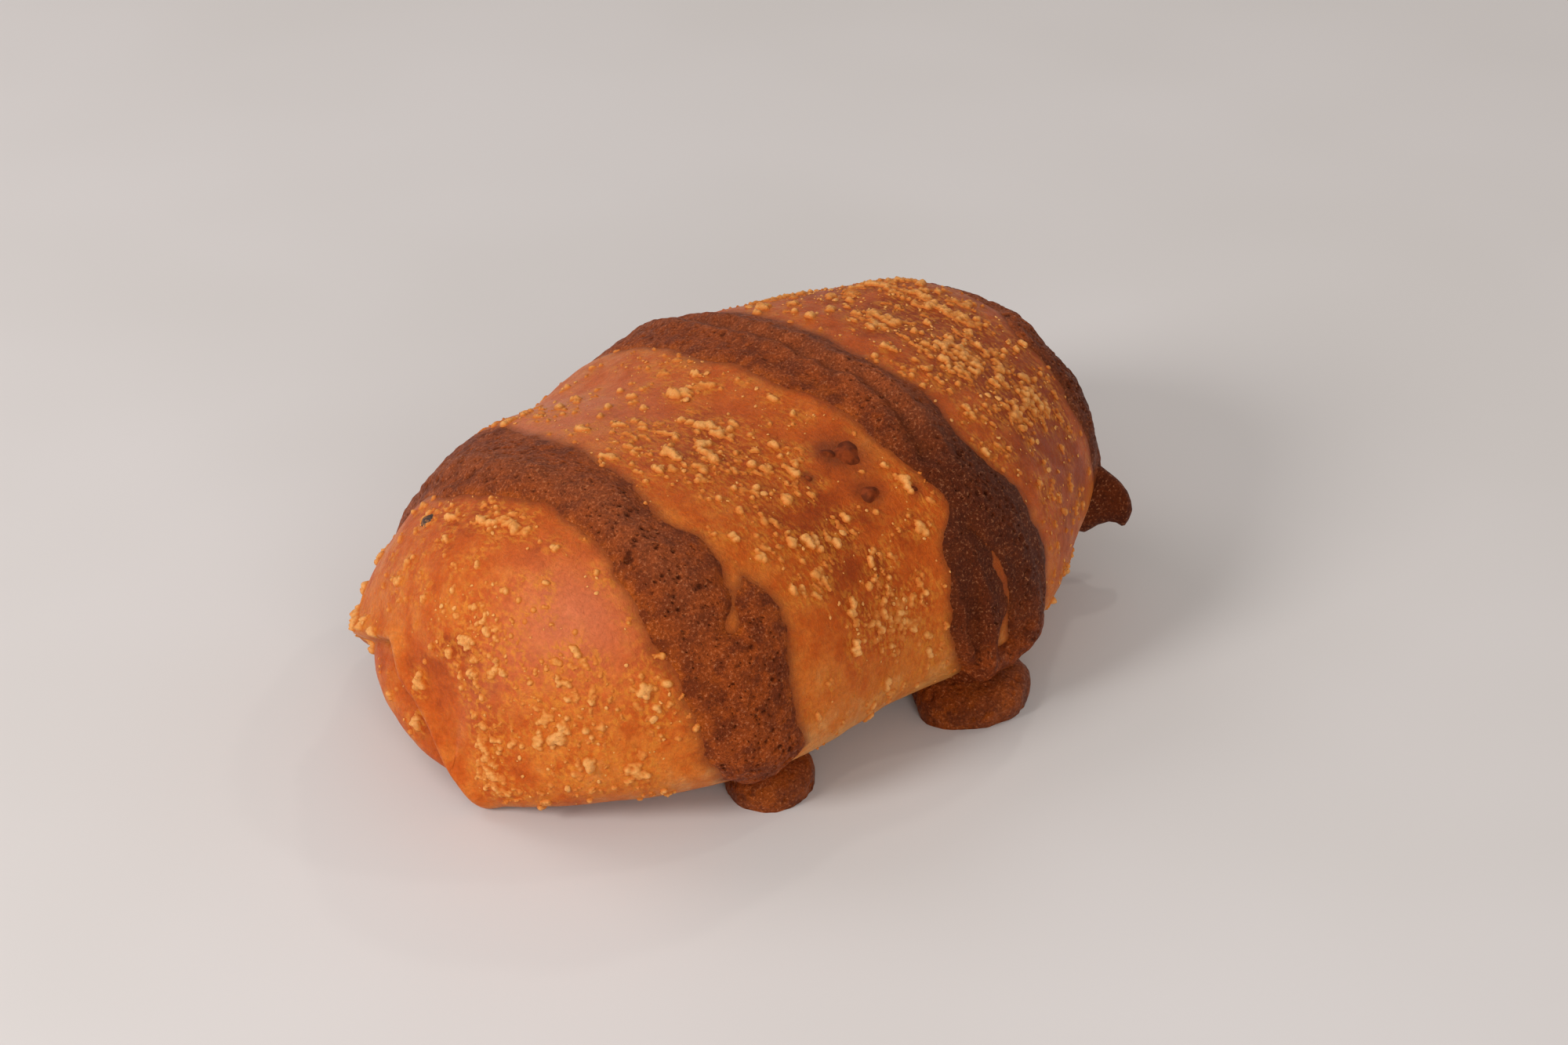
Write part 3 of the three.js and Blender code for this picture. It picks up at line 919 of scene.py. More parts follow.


# %% [markdown]
# ## Crust finish
#
# Baked crust is golden where the dough was shaded or rose late, and goes through orange to brown where it was
# nearest the heat. Under the glossy skin run fine fibres, and butter that melted out of the crumbs left pale,
# drawn-out flecks. The skin is satin: egg wash gave it a thin uneven gloss. Rosy patches on it are painted
# sheen, and the fold's crease and the crust under its lip are darkened as painted shade.

# %% Crust material
CRUST_COLOURS = palette(
    pale="#d08c4a", golden="#c5671e", orange="#b54c08", deep="#913401", butter="#cd7d27",
    rosy="#cc7350", stain="#7b330e",
)
BAKE_STEPS = {"golden": (0.0, 0.4), "orange": (0.35, 0.7), "deep": (0.65, 1.05)}
CRUST_SHEEN = (1, 0.7, 0.45, 1)
BUTTER_STRENGTH = 0.7


def crust_finish():
    skin = Finish("crust")
    medium = skin.noise(4.5, detail=6, roughness=0.65)
    # This value is the real bake, and it also darkens the crust under the fold's lip as painted shade.
    uneven = skin.calculate("ADD", skin.attribute("bake"), skin.swing(skin.noise(16, detail=4), 0.6))
    uneven = skin.calculate("ADD", uneven, skin.swing(medium, 1.15))
    colour = CRUST_COLOURS["pale"]
    for name, (low, high) in BAKE_STEPS.items():
        colour = skin.mix(skin.range(uneven, low, high), colour, CRUST_COLOURS[name])
    # Rosy patches are painted sheen: a pale rosy highlight laid into the crust's colour.
    colour = skin.mix(skin.attribute("rosy"), colour, CRUST_COLOURS["rosy"])

    fibres = skin.noise(0.9, detail=5, roughness=0.65, distortion=0.3, place=skin.stretched((1.3, 0.6, 0.7)))
    flecks = skin.times(skin.range(fibres, 0.43, 0.64), BUTTER_STRENGTH)
    colour = skin.mix(skin.times(flecks, skin.attribute("butter")), colour, CRUST_COLOURS["butter"])
    # This colour marks real stains from the batter and the dabs, and painted shade along the fold's crease.
    colour = skin.mix(skin.attribute("stain"), colour, CRUST_COLOURS["stain"])
    colour = skin.shaded(colour, skin.range(skin.noise(0.7, detail=4, roughness=0.65), 0.3, 0.7, 0.88, 1.1))

    wrinkles = skin.noise(1.5, detail=7, roughness=0.68, distortion=1.4)
    normal = skin.bump(wrinkles, 0.5, 0.8)
    normal = skin.bump(fibres, 0.2, 0.8, under=normal)
    normal = skin.bump(skin.noise(0.3, detail=2), 0.04, 0.7, under=normal)
    gloss = skin.range(medium, 0.3, 0.7, 0.34, 0.52)
    return skin.finish(colour, gloss, normal, Subsurface_Weight=0.08, Subsurface_Scale=0.002,
                       Specular_IOR_Level=0.3, Specular_Tint=CRUST_SHEEN)


all_points = np.vstack([crust_points, dough(-1.0, 0.0), dough(1.0, 0.0)])
crust_piece = new_piece("crust", all_points, faces, crust_finish())
print("crust piece:", len(crust_piece.data.polygons), "faces")

# %% Where the crust is deep, buttered or stained, and where sheen and shade are painted
BAKE_PATCHES = [
    (0.3, (-0.25, 1.35), (0.25, 0.6)),
    (0.42, (-0.16, 0.6), (0.22, 0.42)),
    (0.62, (0.6, 1.0), (0.3, 1.2)),
    (0.25, (-0.75, 2.0), (0.1, 0.4)),
    (0.35, (-0.99, 1.5), (0.02, 3)),
    (0.2, (-0.82, 0.9), (0.14, 0.9)),
]
# Patches of painted sheen on the crest: strength, middle (s, t), spread (s, t).
PAINTED_SHEEN_PATCHES = [(0.7, (-0.35, 2.2), (0.25, 0.5)), (0.62, (-0.87, 0.95), (0.12, 0.4))]
EVEN_BAKE = 0.5
SHADE_UNDER_FOLD = 0.25
CREASE_SHADE = {"height": 0.6, "width": 1.1}
BESIDE_BATTER = {"height": 0.08, "width": 2.6}
BATTER_GLOW = 0.9
DAB_STAIN = 0.85


def per_point(values):
    """The grid's values, with the two end points' added."""
    values = np.asarray(values).reshape(len(ring_s), SPOKES)
    return np.concatenate([values.ravel(), [values[0].mean(), values[-1].mean()]])


low_flank = 1 - smooth_step(6, 26, base_points[..., 2])
shaded = 0.16 + 0.28 * smooth_step(-0.65, -0.5, grid_s)
beside_batter = bank(np.minimum(from_batter, 0), **BESIDE_BATTER)
fold_distance, above_fold = from_fold(base_points)
# Under the fold's lip the crust is coloured as if more baked: painted shade in the recess.
shade_under_fold = smooth_step(0.2, -1, above_fold) * hump(fold_distance, FOLD_SHADE)
bake = EVEN_BAKE + patches(grid_s, grid_t, BAKE_PATCHES) - shaded * low_flank - beside_batter
crumb_chance = crumb_share(grid_s, grid_t) * above_table.reshape(grid_s.shape)
# The fold's crease gets the stain colour: painted shade in the crease.
crease_shade = bank(fold_distance, **CREASE_SHADE) * smooth_step(0.3, -0.4, above_fold)
glow = BATTER_GLOW * smooth_step(-3.0, 0.4, from_batter) ** 1.6
stain = np.max([glow, crease_shade, DAB_STAIN * dab_share(grid_s, grid_t)], axis=0)
crust_values = {
    "bake": bake + SHADE_UNDER_FOLD * shade_under_fold,
    "rosy": patches(grid_s, grid_t, PAINTED_SHEEN_PATCHES),
    "butter": np.clip(butter, 0, 1),
    "crumb_chance": crumb_chance * smooth_step(0.6, -0.6, from_batter),
    "stain": np.clip(stain, 0, 1),
}
for name, values in crust_values.items():
    store(crust_piece, **{name: per_point(values)})
    print(name, "from", round(float(values.min()), 2), "to", round(float(values.max()), 2))
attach(crust_piece, "root")
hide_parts("bread_body")


# %% [markdown]
# ## Cocoa batter
#
# The batter is sponge: matte, full of burst bubbles, with a thick ridge where the nozzle passed and
# thin edges that let the orange crust glow through. Each band is a height over the crust. Where the
# height drops below zero it dips under the crust, and so its edge wanders like a real one. A boolean
# cut would leave a hard, even edge, and a bump in the shader wouldn't show against the background.

# %% Batter material
BATTER_COLOURS = palette(
    edge="#ad4f0d", thin="#9c430f", thick="#772e09", grey="#9c4f2a", dark="#4b1602",
    spark="#cf8f62",
)
BATTER_SHEEN = (1, 0.7, 0.5, 1)


def batter_finish():
    sponge = Finish("cocoa_batter")
    medium = sponge.noise(3.5, detail=5, roughness=0.6)
    grain = sponge.noise(0.5, detail=5, roughness=0.72)
    holes = sponge.range(sponge.cells(0.7), 0.2, 0.05)
    gloss = sponge.attribute("gloss")
    # Pale specks mixed into the colour are painted glints on the sponge's grain.
    sparks = sponge.noise(0.5, detail=4, roughness=0.75)
    colour = BATTER_COLOURS["edge"]
    for share, name in (
        (sponge.range(sponge.attribute("depth"), 0.0, 0.7), "thin"),
        (sponge.range(medium, 0.4, 0.62), "thick"),
        # The ridge is mixed toward grey-brown: partly the thick batter's own colour, partly painted sheen on
        # its crest.
        (sponge.times(sponge.attribute("ridge"), 0.5), "grey"),
        # This darkens the batter: partly real toasting, partly painted shade on the bands' front flank.
        (sponge.attribute("toast"), "dark"),
        # Pits and cell holes are darkened: painted shade inside the pores.
        (sponge.range(sponge.attribute("pit"), 0.1, 0.4, 0.0, 0.75), "dark"),
        (sponge.times(holes, 0.4), "dark"),
        # Where a piece is glossy, the paler edge colour is mixed in: painted sheen.
        (sponge.times(gloss, sponge.range(medium, 0.42, 0.6, 0.0, 0.6)), "edge"),
        (sponge.range(sparks, 0.55, 0.68, 0.0, 0.38), "spark"),
    ):
        colour = sponge.mix(share, colour, BATTER_COLOURS[name])
    colour = sponge.shaded(colour, sponge.range(grain, 0.34, 0.66, 0.66, 1.24))
    normal = sponge.bump(grain, 0.6, 1.0)
    normal = sponge.bump(sponge.times(holes, -1.0), 0.25, 0.8, under=normal)
    normal = sponge.bump(sponge.noise(0.26, detail=2), 0.1, 1.0, under=normal)
    matt = sponge.range(grain, 0.3, 0.7, 0.62, 0.42)
    roughness = sponge.calculate("SUBTRACT", matt, sponge.times(gloss, 0.14))
    return sponge.finish(colour, roughness, normal, Specular_IOR_Level=0.25, Specular_Tint=BATTER_SHEEN)


batter_material = batter_finish()
print("batter finish:", len(batter_material.node_tree.nodes), "nodes")

# %% Height of the batter
FILM, THINNEST, RIDGE = 0.8, 0.35, 1.0
EDGE_RUN = 1.8
DIP_SLOPE, DIP = 0.8, 0.9
FURROW_STRETCH = 4
DRAWN_OUT = [(0.4, 3.4)]
BATTER_LUMPS = [(0.35, 6), (0.2, 2), (0.11, 0.8)]
FURROW_WANDER = [(0.7, 2.6)]
FURROW_BANK = {"height": 0.6, "off": 3, "width": 1.6}
FURROW_BED = {"height": -1.1, "width": 1.4}


def batter_height(band, s, t, points):
    """Batter above the crust, in millimetres; below zero outside the edge."""
    seed = band["seed"]
    inside = inside_band(band, s, t, points)
    rounded = 1 - np.exp(-np.maximum(inside, 0) / EDGE_RUN)
    ridge = ridge_share(band, s, t) * smooth_step(0.2, 1.2, t)
    lip = band["lip"] * (smooth_step(0.25, -0.25, t) + smooth_step(2.9, 3.4, t))
    height = rounded * (FILM + RIDGE * ridge + lip)
    drawn_out = np.stack([s * HALF_LENGTH, t * ROUND_RADIUS / FURROW_STRETCH, np.zeros_like(s)], axis=-1)
    uneven = layered(drawn_out, DRAWN_OUT, seed + 4) + layered(points, BATTER_LUMPS, seed + 5)
    wander = layered(points, FURROW_WANDER, seed + 8)
    for path in band["furrows"]:
        distance = distance_to_path(s, t, path) + wander
        uneven = uneven + bank(distance, **FURROW_BANK) + bank(distance, **FURROW_BED)
    height += smooth_step(0, 2.5, inside) * uneven
    height = np.maximum(height, THINNEST * smooth_step(0.2, 1.4, inside))
    return np.where(inside > 0, height, np.maximum(inside * DIP_SLOPE, -DIP)), ridge


# %% Build the bands
BAND_ROWS = 620
BAND_COLUMNS = 100
SPARE_EDGE = 0.035
LAST_S = 0.985
BURIED = 2.2
PITS = [
    # how many, radius, depth
    (900, 0.22, 0.4),
    (100, 0.38, 0.55),
]
DEEP_ENOUGH = 0.6
EVEN_TOAST = 0.06


def build_band(name, band):
    t = np.linspace(*band["ends"], BAND_ROWS)[:, None]
    near, far = line_at(band["near"], t) - SPARE_EDGE, line_at(band["far"], t) + SPARE_EDGE
    s = np.minimum(near + (far - near) * np.linspace(0, 1, BAND_COLUMNS), LAST_S)
    t = np.broadcast_to(t, s.shape)
    plain = dough(s, t)
    height, ridge = batter_height(band, s, t, plain)
    random = np.random.default_rng(band["seed"])
    places = np.flatnonzero(height > DEEP_ENOUGH)
    pits = np.zeros(height.size)
    for count, radius, depth in PITS:
        scatter_bumps(plain.reshape(-1, 3), pits, random.choice(places, count), radius, -depth, random)
    pits = pits.reshape(height.shape)
    # Low on the front flank the bands are darkened: partly toasting, partly painted shade on the side away
    # from the key light.
    toast = (EVEN_TOAST + band["toast"] * smooth_step(1.3, 0.75, t)) * smooth_step(-0.3, 0.25, t)
    piece = new_sheet(name, s, t, height + pits, BURIED, batter_material)
    store_sheet(piece, pit=-pits, toast=toast, depth=height + pits, ridge=ridge)
    return piece


for name, band in BANDS.items():
    piece = build_band("batter_" + name.split("_")[-1], band)
    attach(piece, "root")
    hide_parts(name)
    print(piece.name, len(piece.data.polygons), "faces")

# %% [markdown]
# ## Feet, the hanging drip and dabs
#
# Batter that ran off the flanks pooled on the tray and set in thick, round-edged feet. One drip never
# reached the tray: it hangs off the far band like a hooked fin. These stand clear of the crust, so they
# are closed shapes of their own, made of rings. Small dabs fell between the bands, so thin that they
# dried to a smooth dark film. They lie on the crust, so they are heights over it, as the bands are.

# %% Pools on the tray
FEET = {
    "near": [
        {"centre": (-32.5, -33.6), "reach": (8.2, 7.6), "height": 6.4},
        {"centre": (-36, 37), "reach": (9, 7), "height": 6.0},
    ],
    "middle": [
        {"centre": (9.9, -42.3), "reach": (11, 9.9), "height": 6.8},
        {"centre": (12, 46), "reach": (10, 8), "height": 6.4},
    ],
}
FOOT_ROWS, FOOT_COLUMNS = 90, 200
ROUND_EDGE, ROUND_TOP = 0.85, 0.42
WALL_LEAN = 0.07
MIDDLE_HEIGHT = 0.3
FOOT_LUMPS = [(0.8, 6), (0.28, 2.4), (0.14, 1.0)]
FOOT_PITS = {"count": 90, "radius": 0.45, "depth": 0.5}
FOOT_TOAST = {"top": 0.12, "rim": 0.35, "base": 0.5, "patchy": 0.25}
SOLID_DEPTH = 1.6
FOOT_RIDGE = 0.6


def build_foot(name, centre, reach, height, seed):
    share = np.linspace(0, 1, FOOT_ROWS)[1:, None]
    angle = ring_angles(FOOT_COLUMNS)
    up = np.cos(share * math.pi / 2) ** ROUND_TOP
    out = np.sin(share * math.pi / 2) ** ROUND_EDGE * (1 - WALL_LEAN * (1 - up) ** 3)
    x = centre[0] + reach[0] * out * np.cos(angle)
    y = centre[1] + reach[1] * out * np.sin(angle)
    points = np.stack([x, y, np.broadcast_to(height * up, x.shape)], axis=-1).reshape(-1, 3)
    away = unit(points - np.array([*centre, height * MIDDLE_HEIGHT]))
    bulge = layered(points, FOOT_LUMPS, seed)
    random = np.random.default_rng(seed)
    places = random.integers(0, len(points), FOOT_PITS["count"])
    scatter_bumps(points, bulge, places, FOOT_PITS["radius"], -FOOT_PITS["depth"], random)
    points = points + away * bulge[:, None]
    points[:, 2] = np.maximum(points[:, 2], 0)
    points[-FOOT_COLUMNS:, 2] = 0
    top = len(points)
    points = np.vstack([points, [*centre, height + bulge[0]], [*centre, 0]])
    faces = turned_over(grid_quads(FOOT_ROWS - 1, FOOT_COLUMNS, wrap=True))
    faces += fan(top, 0, FOOT_COLUMNS) + fan(top + 1, top - FOOT_COLUMNS, FOOT_COLUMNS, flipped=True)
    piece = new_piece(name, points, faces, batter_material)
    rim = smooth_step(0.45, 0.95, np.broadcast_to(share, x.shape)).ravel()
    toast = np.append(FOOT_TOAST["top"] + FOOT_TOAST["rim"] * rim, [FOOT_TOAST["top"], FOOT_TOAST["base"]])
    toast = toast + FOOT_TOAST["patchy"] * smooth_step(-0.1, 0.5, noise(points, 3.4, seed + 3))
    # gloss makes the feet smoother, and it also lays painted sheen into their colour.
    store(piece, depth=SOLID_DEPTH, toast=toast, ridge=FOOT_RIDGE, gloss=1)
    return piece


for owner, pools in FEET.items():
    for i, pool in enumerate(pools):
        piece = build_foot(f"foot_{owner}_{i + 1}", seed=50 + 7 * i + len(owner), **pool)
        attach(piece, "root")
        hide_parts("cocoa_band_" + owner)
        print(piece.name, len(piece.data.polygons), "faces")

# %% The hooked drip, as a fin that grows out of the far band's front end
# Each corner is (distance along the fin, height) or (distance along the fin, thickness).
FIN_ROOT = (60.5, -31.5)
FIN_HEADING = (0.47, -0.883)
FIN_TOP = [(-7, 24.5), (-3.5, 23), (0, 21), (1.8, 19.6), (3.8, 17.9), (5.2, 16), (6.0, 14), (6.3, 12.3)]
FIN_BOTTOM = [(-7, 7), (-2.1, 6.9), (0.2, 8.7), (2.3, 9.6), (3.6, 9.5), (4.6, 8.8), (5.2, 9.0),
              (5.9, 10.6), (6.3, 12.3)]
FIN_THICKNESS = [(-7, 5.2), (-2, 4.6), (1, 3.8), (4, 2.9), (5.5, 2.2), (6.3, 0.3)]
FIN_ROWS, FIN_COLUMNS = 90, 80
FIN_ROUNDNESS = {"side": 0.85, "height": 0.9}
FIN_LUMPS = [(0.3, 4.5), (0.09, 1.3)]
FIN_SEED = 71
FIN_TOAST = 0.75


def build_drip():
    start, end = FIN_TOP[0][0], FIN_TOP[-1][0]
    u = start + (end - start) * (1 - (1 - np.linspace(0, 1, FIN_ROWS)) ** 2)[:, None]
    angle = ring_angles(FIN_COLUMNS)
    top, bottom, thick = (np.interp(u, *zip(*corners)) for corners in (FIN_TOP, FIN_BOTTOM, FIN_THICKNESS))
    side = thick / 2 * signed_power(np.sin(angle), FIN_ROUNDNESS["side"])
    z = (top + bottom) / 2 + (top - bottom) / 2 * signed_power(np.cos(angle), FIN_ROUNDNESS["height"])
    x = FIN_ROOT[0] + FIN_HEADING[0] * u - FIN_HEADING[1] * side
    y = FIN_ROOT[1] + FIN_HEADING[1] * u + FIN_HEADING[0] * side
    points = np.stack([x, y, z], axis=-1)
    middle = points.mean(axis=1, keepdims=True)
    points = points + unit(points - middle) * layered(points, FIN_LUMPS, FIN_SEED)[..., None]
    points = np.vstack([points.reshape(-1, 3), middle[0], middle[-1]])
    pole = FIN_ROWS * FIN_COLUMNS
    faces = grid_quads(FIN_ROWS, FIN_COLUMNS, wrap=True) + fan(pole, 0, FIN_COLUMNS)
    faces += fan(pole + 1, pole - FIN_COLUMNS, FIN_COLUMNS, flipped=True)
    piece = new_piece("drip", points, faces, batter_material)
    store(piece, depth=SOLID_DEPTH, toast=FIN_TOAST)
    return piece


drip = build_drip()
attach(drip, "root")
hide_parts("cocoa_band_far")
print("drip", len(drip.data.polygons), "faces")


# %% Finishes of a thin dab and of a burnt fleck
FILM_COLOURS = palette(thick="#7d3413", dark="#562009")
BURNT_COLOURS = palette(black="#2b130b", brown="#8a5a34")


def film_finish():
    film = Finish("batter_film")
    medium = film.noise(1.6, detail=4, roughness=0.6)
    colour = film.mix(film.range(medium, 0.35, 0.65), FILM_COLOURS["thick"], FILM_COLOURS["dark"])
    return film.finish(colour, 0.55, film.bump(medium, 0.25, 0.8), Specular_IOR_Level=0.15,
                       Specular_Tint=BATTER_SHEEN)


def burnt_finish():
    burnt = Finish("burnt_crumb")
    grain = burnt.noise(0.5, detail=4, roughness=0.7)
    colour = burnt.mix(burnt.range(grain, 0.45, 0.62), BURNT_COLOURS["black"], BURNT_COLOURS["brown"])
    return burnt.finish(colour, burnt.range(grain, 0.3, 0.7, 0.5, 0.8), burnt.bump(grain, 0.3, 1.0))


film_material = film_finish()
print("film finish:", len(film_material.node_tree.nodes), "nodes")

# %% Dabs of batter between the bands
DAB_ROWS, DAB_COLUMNS = 28, 56
DAB_SUNK, DAB_BASE = 0.45, 1.0
DAB_STEEPNESS = 2.1
DAB_OUTLINE = {2: 0.18, 3: 0.1}
DAB_GRAIN = 0.05


def build_dab(index, at, radius, height, material=film_material):
    share = np.linspace(0, 1, DAB_ROWS)[:, None]
    angle = ring_angles(DAB_COLUMNS)
    waves = (size * np.sin(angle * lobes + index * (lobes - 1)) for lobes, size in DAB_OUTLINE.items())
    out = radius * share * (1 + sum(waves))
    s = at[0] + out * np.cos(angle) / HALF_LENGTH
    t = at[1] + out * np.sin(angle) / ROUND_RADIUS
    lift = (height + DAB_SUNK) * np.exp(-((DAB_STEEPNESS * share) ** 2)) - DAB_SUNK
    lift = lift + DAB_GRAIN * noise(dough(s, t), 1.0, 80 + index)
    points = np.vstack([crust(s, t, lift).reshape(-1, 3), crust(*at, -DAB_BASE)])
    base = DAB_ROWS * DAB_COLUMNS
    faces = grid_quads(DAB_ROWS, DAB_COLUMNS, wrap=True)
    faces += fan(base, base - DAB_COLUMNS, DAB_COLUMNS, flipped=True)
    return new_piece(f"batter_dab_{index + 1}", points, faces, material)


for i, dab in enumerate(DABS):
    piece = build_dab(i, **dab)
    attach(piece, "root")
    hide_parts("cocoa_spot_upper" if i != 1 else "cocoa_spot_lower")
print("dabs:", len(DABS))

# %% A burnt fleck of topping
BURNT = {"at": (-0.8, 2.19), "radius": 3.2, "height": 0.7}

fleck = build_dab(len(DABS), **BURNT, material=burnt_finish())
fleck.name = "burnt_fleck"
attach(fleck, "root")
print("fleck of", BURNT["radius"], "mm")

# %% [markdown]
# ## Butter crumbs
#
# The crumbs are pale gold where they stand clear of the crust, partly their own colour and partly a painted
# highlight on their tops, and take its orange where they have sunk in. The topping grown above becomes a
# sheet over each lobe. Then Geometry Nodes scatters thousands of small loose crumbs, because nobody could
# place those one by one. Each is a ball pushed out to the furthest of several overlapping balls, so it looks
# like a few grains stuck together.

# %% Crumb material
CRUMB_COLOURS = palette(light="#d89753", golden="#c9792d", toasted="#b0601e", sunk="#bf6420")
CRUMB_SHEEN = (1, 0.8, 0.6, 1)


def crumb_finish():
    crumb = Finish("butter_crumb")
    tint = crumb.noise(2.6, detail=1)
    grain = crumb.noise(0.45, detail=4, roughness=0.7)
    lift = crumb.attribute("lift")
    # Higher crumbs are paler: partly their own colour, partly a painted highlight on their tops.
    pale = crumb.times(crumb.range(tint, 0.3, 0.6, 0.4, 1.0), crumb.range(lift, 0.15, 0.65))
    colour = crumb.mix(pale, CRUMB_COLOURS["golden"], CRUMB_COLOURS["light"])
    colour = crumb.mix(crumb.range(grain, 0.5, 0.72, 0.0, 0.7), colour, CRUMB_COLOURS["toasted"])
    colour = crumb.mix(crumb.range(lift, 0.0, 0.4), CRUMB_COLOURS["sunk"], colour)
    normal = crumb.bump(grain, 0.2, 0.9)
    normal = crumb.bump(crumb.noise(0.2, detail=2), 0.04, 0.7, under=normal)
    return crumb.finish(colour, crumb.range(grain, 0.3, 0.7, 0.4, 0.6), normal,
                        Subsurface_Weight=0.15, Subsurface_Scale=0.001,
                        Specular_IOR_Level=0.3, Specular_Tint=CRUMB_SHEEN)


crumb_material = crumb_finish()
print("crumb finish:", len(crumb_material.node_tree.nodes), "nodes")

# %% The baked-on topping
TOPPING_BURIED = 6

for name, topping in toppings.items():
    s, t, lift, owned = (topping[key] for key in ("s", "t", "lift", "owned"))
    piece = new_sheet("topping_" + name, s, t, lift, TOPPING_BURIED, crumb_material)
    store_sheet(piece, lift=lift)
    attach(piece, "root")
    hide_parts(*owned)
    print(piece.name, len(piece.data.polygons), "faces, for", len(owned), "clumps")

# %% Lumps
LUMP_CORE = 0.62
GRAIN_PLACES = (0.3, 0.5)
GRAIN_SIZES = (0.42, 0.62)


def ball(subdivisions):
    """Directions and faces of a ball made of triangles."""
    shape = bmesh.new()
    bmesh.ops.create_icosphere(shape, subdivisions=subdivisions, radius=1)
    directions = np.array([v.co[:] for v in shape.verts])
    triangles = [tuple(v.index for v in f.verts) for f in shape.faces]
    shape.free()
    return directions, triangles


def lump(directions, random, grains):
    """Points of a cluster of grains, about 1 across, seen from its middle."""
    reach = np.full(len(directions), LUMP_CORE)
    for _ in range(grains):
        centre = unit(random.normal(size=3)) * random.uniform(*GRAIN_PLACES)
        size = random.uniform(*GRAIN_SIZES)
        towards = directions @ centre
        inside_root = size**2 - centre @ centre + towards**2
        reach = np.maximum(reach, towards + np.sqrt(np.maximum(inside_root, 0)))
    return directions * reach[:, None]


# %% Shapes for the small crumbs
SMALL_SHAPES = 7
SHAPE_SEED = 3
SHAPE_GRAINS = 4
LAID_FLAT = (1.3, 0.9, 0.6)
RAISED = (0, 0, 0.1)

random = np.random.default_rng(SHAPE_SEED)
shapes = bpy.data.collections.new("crumb_shapes")
directions, triangles = ball(2)
for i in range(SMALL_SHAPES):
    mesh = bpy.data.meshes.new(f"crumb_shape_{i}")
    lumpy = lump(directions, random, SHAPE_GRAINS) * LAID_FLAT + RAISED
    mesh.from_pydata(lumpy.tolist(), [], triangles)
    mesh.shade_smooth()
    shapes.objects.link(bpy.data.objects.new(mesh.name, mesh))

# %% A scatter tree with its sizes as inputs
SCATTER_INPUTS = {
    "Geometry": "NodeSocketGeometry",
    "Crumbs per square metre": "NodeSocketFloat",
    "Smallest": "NodeSocketFloat",
    "Largest": "NodeSocketFloat",
    "Seed": "NodeSocketInt",
}
SMALL_ONES_SKEW = 2.2
TILT = 0.35


def scatter_tree():
    """Puts crumbs on a mesh, as many as its crumb_chance says, most of them small."""
    tree = bpy.data.node_groups.new("crumb_scatter", "GeometryNodeTree")
    tree.interface.new_socket("Geometry", in_out="OUTPUT", socket_type="NodeSocketGeometry")
    for name, kind in SCATTER_INPUTS.items():
        tree.interface.new_socket(name, in_out="INPUT", socket_type=kind)

    def add(kind, inputs, **settings):
        return add_node(tree, kind, inputs, **settings)

    given = add("NodeGroupInput", {})
    chance = add("GeometryNodeInputNamedAttribute", {"Name": "crumb_chance"}, data_type="FLOAT")["Attribute"]
    density = add("ShaderNodeMath", {0: chance, 1: given["Crumbs per square metre"]}, operation="MULTIPLY")[0]
    spread = add("GeometryNodeDistributePointsOnFaces",
                 {"Mesh": given["Geometry"], "Density": density, "Seed": given["Seed"]})
    any_shape = add("GeometryNodeCollectionInfo",
                    {"Collection": shapes, "Separate Children": True, "Reset Children": True})["Instances"]
    even = add("FunctionNodeRandomValue", {2: 0.0, 3: 1.0, "Seed": given["Seed"]})[1]
    skewed = add("ShaderNodeMath", {0: even, 1: SMALL_ONES_SKEW}, operation="POWER")[0]
    sizes = {"Value": skewed, "To Min": given["Smallest"], "To Max": given["Largest"]}
    size = add("ShaderNodeMapRange", sizes)["Result"]
    placed = add("GeometryNodeInstanceOnPoints", {
        "Points": spread["Points"], "Instance": any_shape, "Pick Instance": True,
        "Rotation": spread["Rotation"], "Scale": size})["Instances"]
    turns = {0: (-TILT, -TILT, 0), 1: (TILT, TILT, 2 * math.pi)}
    turn = add("FunctionNodeRandomValue", turns, data_type="FLOAT_VECTOR")[0]
    turned = add("GeometryNodeRotateInstances", {"Instances": placed, "Rotation": turn})["Instances"]
    real = add("GeometryNodeRealizeInstances", {"Geometry": turned})["Geometry"]
    dressed = add("GeometryNodeSetMaterial", {"Geometry": real, "Material": crumb_material})["Geometry"]
    add("NodeGroupOutput", {"Geometry": dressed})
    return tree


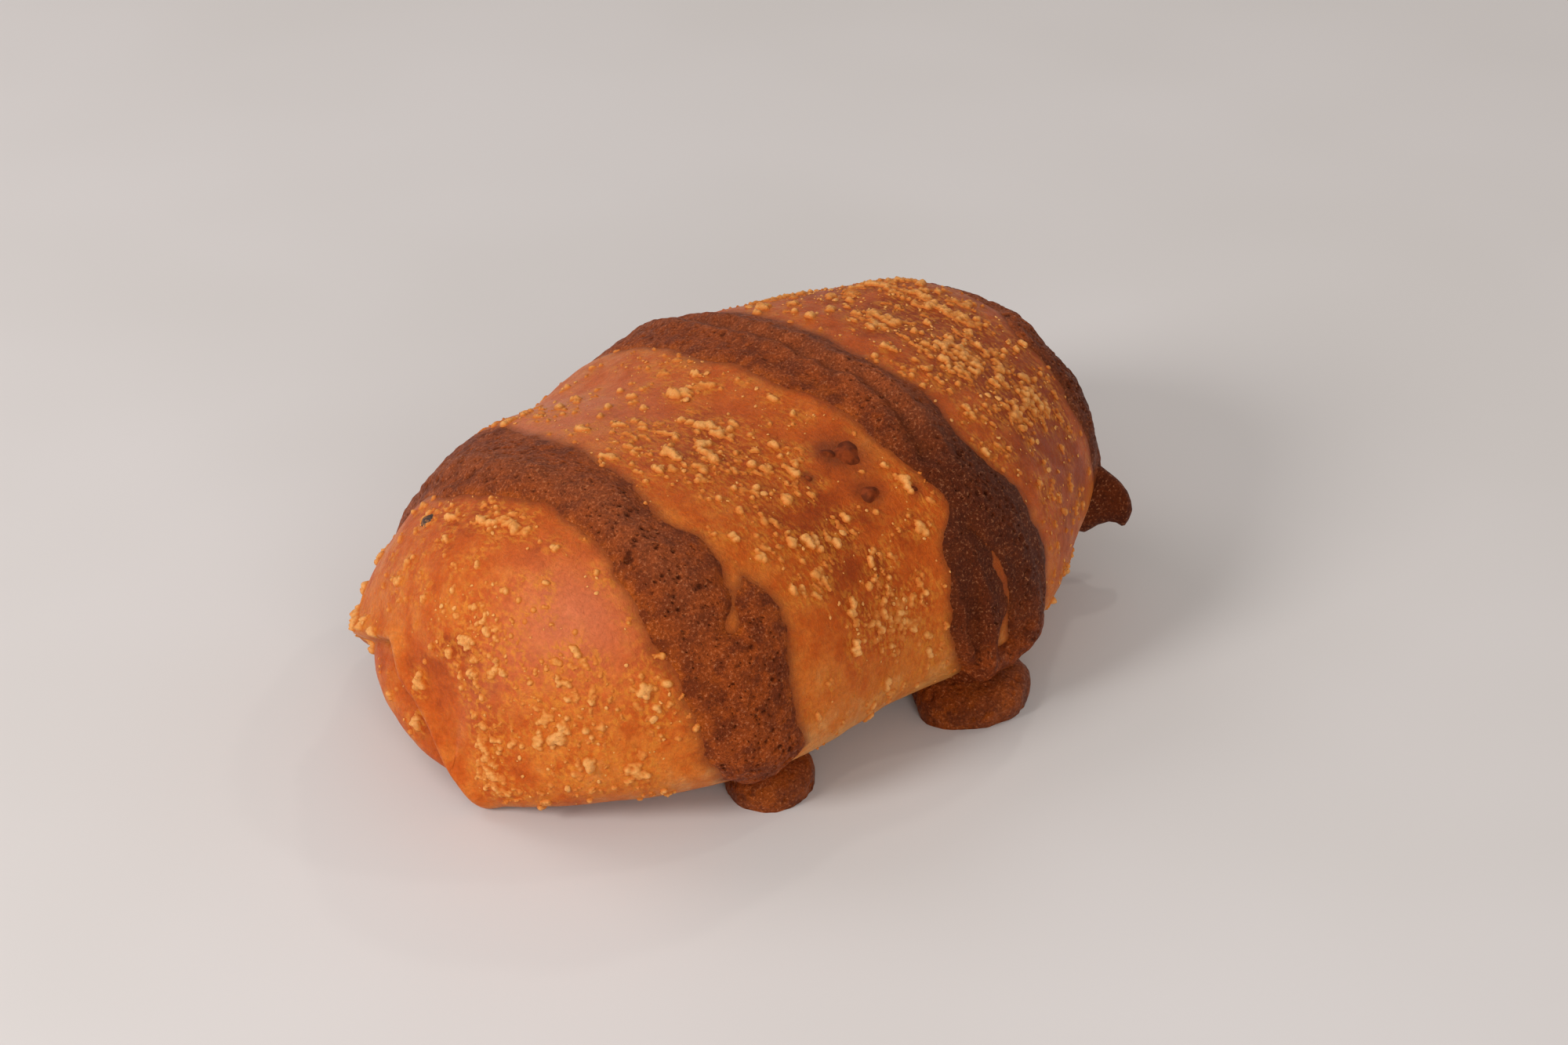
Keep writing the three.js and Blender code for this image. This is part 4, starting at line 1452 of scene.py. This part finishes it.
# %% Scatter the small crumbs
SCATTERS = [
    {"name": "middling_crumbs", "density": 16000, "smallest": 0.4, "largest": 0.9, "seed": 4},
    {"name": "fine_crumbs", "density": 110000, "smallest": 0.16, "largest": 0.42, "seed": 5},
]
crumb_tree = scatter_tree()
print("scatter tree:", len(crumb_tree.nodes), "nodes")
sockets = {i.name: i.identifier for i in crumb_tree.interface.items_tree if i.in_out == "INPUT"}


def scatter(name, density, smallest, largest, seed):
    """Small crumbs on the crust, as a plain mesh of their own."""
    modifier = crust_piece.modifiers.new("crumbs", "NODES")
    modifier.node_group = crumb_tree
    modifier[sockets["Crumbs per square metre"]] = float(density)
    modifier[sockets["Smallest"]] = smallest * MM
    modifier[sockets["Largest"]] = largest * MM
    modifier[sockets["Seed"]] = seed
    graph = bpy.context.evaluated_depsgraph_get()
    mesh = bpy.data.meshes.new_from_object(crust_piece.evaluated_get(graph))
    crust_piece.modifiers.remove(modifier)
    mesh.name = name
    piece = bpy.data.objects.new(name, mesh)
    # A lift of 1 gives the small crumbs the palest colour, painted highlight included.
    store(piece, lift=1)
    bpy.context.scene.collection.objects.link(piece)
    print(name, len(mesh.polygons) // len(triangles), "crumbs")
    return piece


for settings in SCATTERS:
    piece = scatter(**settings)
    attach(piece, "root")

# %% [markdown]
# ## The table
#
# The bun stands on plain pale paper, which takes its soft shadows. One flat square is enough, as long
# as it reaches far past the view on every side.

# %% Floor
FLOOR = 6
PAPER_COLOURS = palette(light="#d2cecd", grey="#cecac8")


def table_finish():
    paper = Finish("table_paper")
    tone = paper.range(paper.noise(120, detail=2), 0.3, 0.7)
    colour = paper.mix(tone, PAPER_COLOURS["light"], PAPER_COLOURS["grey"])
    return paper.finish(colour, 0.55, paper.bump(paper.noise(1.5, detail=3), 0.02, 0.2))


floor_corners = [(-FLOOR, -FLOOR, 0), (FLOOR, -FLOOR, 0), (FLOOR, FLOOR, 0), (-FLOOR, FLOOR, 0)]
floor_mesh = bpy.data.meshes.new("table")
floor_mesh.from_pydata(floor_corners, [], [(0, 1, 2, 3)])
floor_mesh.materials.append(table_finish())
floor = bpy.data.objects.new("table", floor_mesh)
bpy.context.scene.collection.objects.link(floor)
print("table", 2 * FLOOR, "m wide")
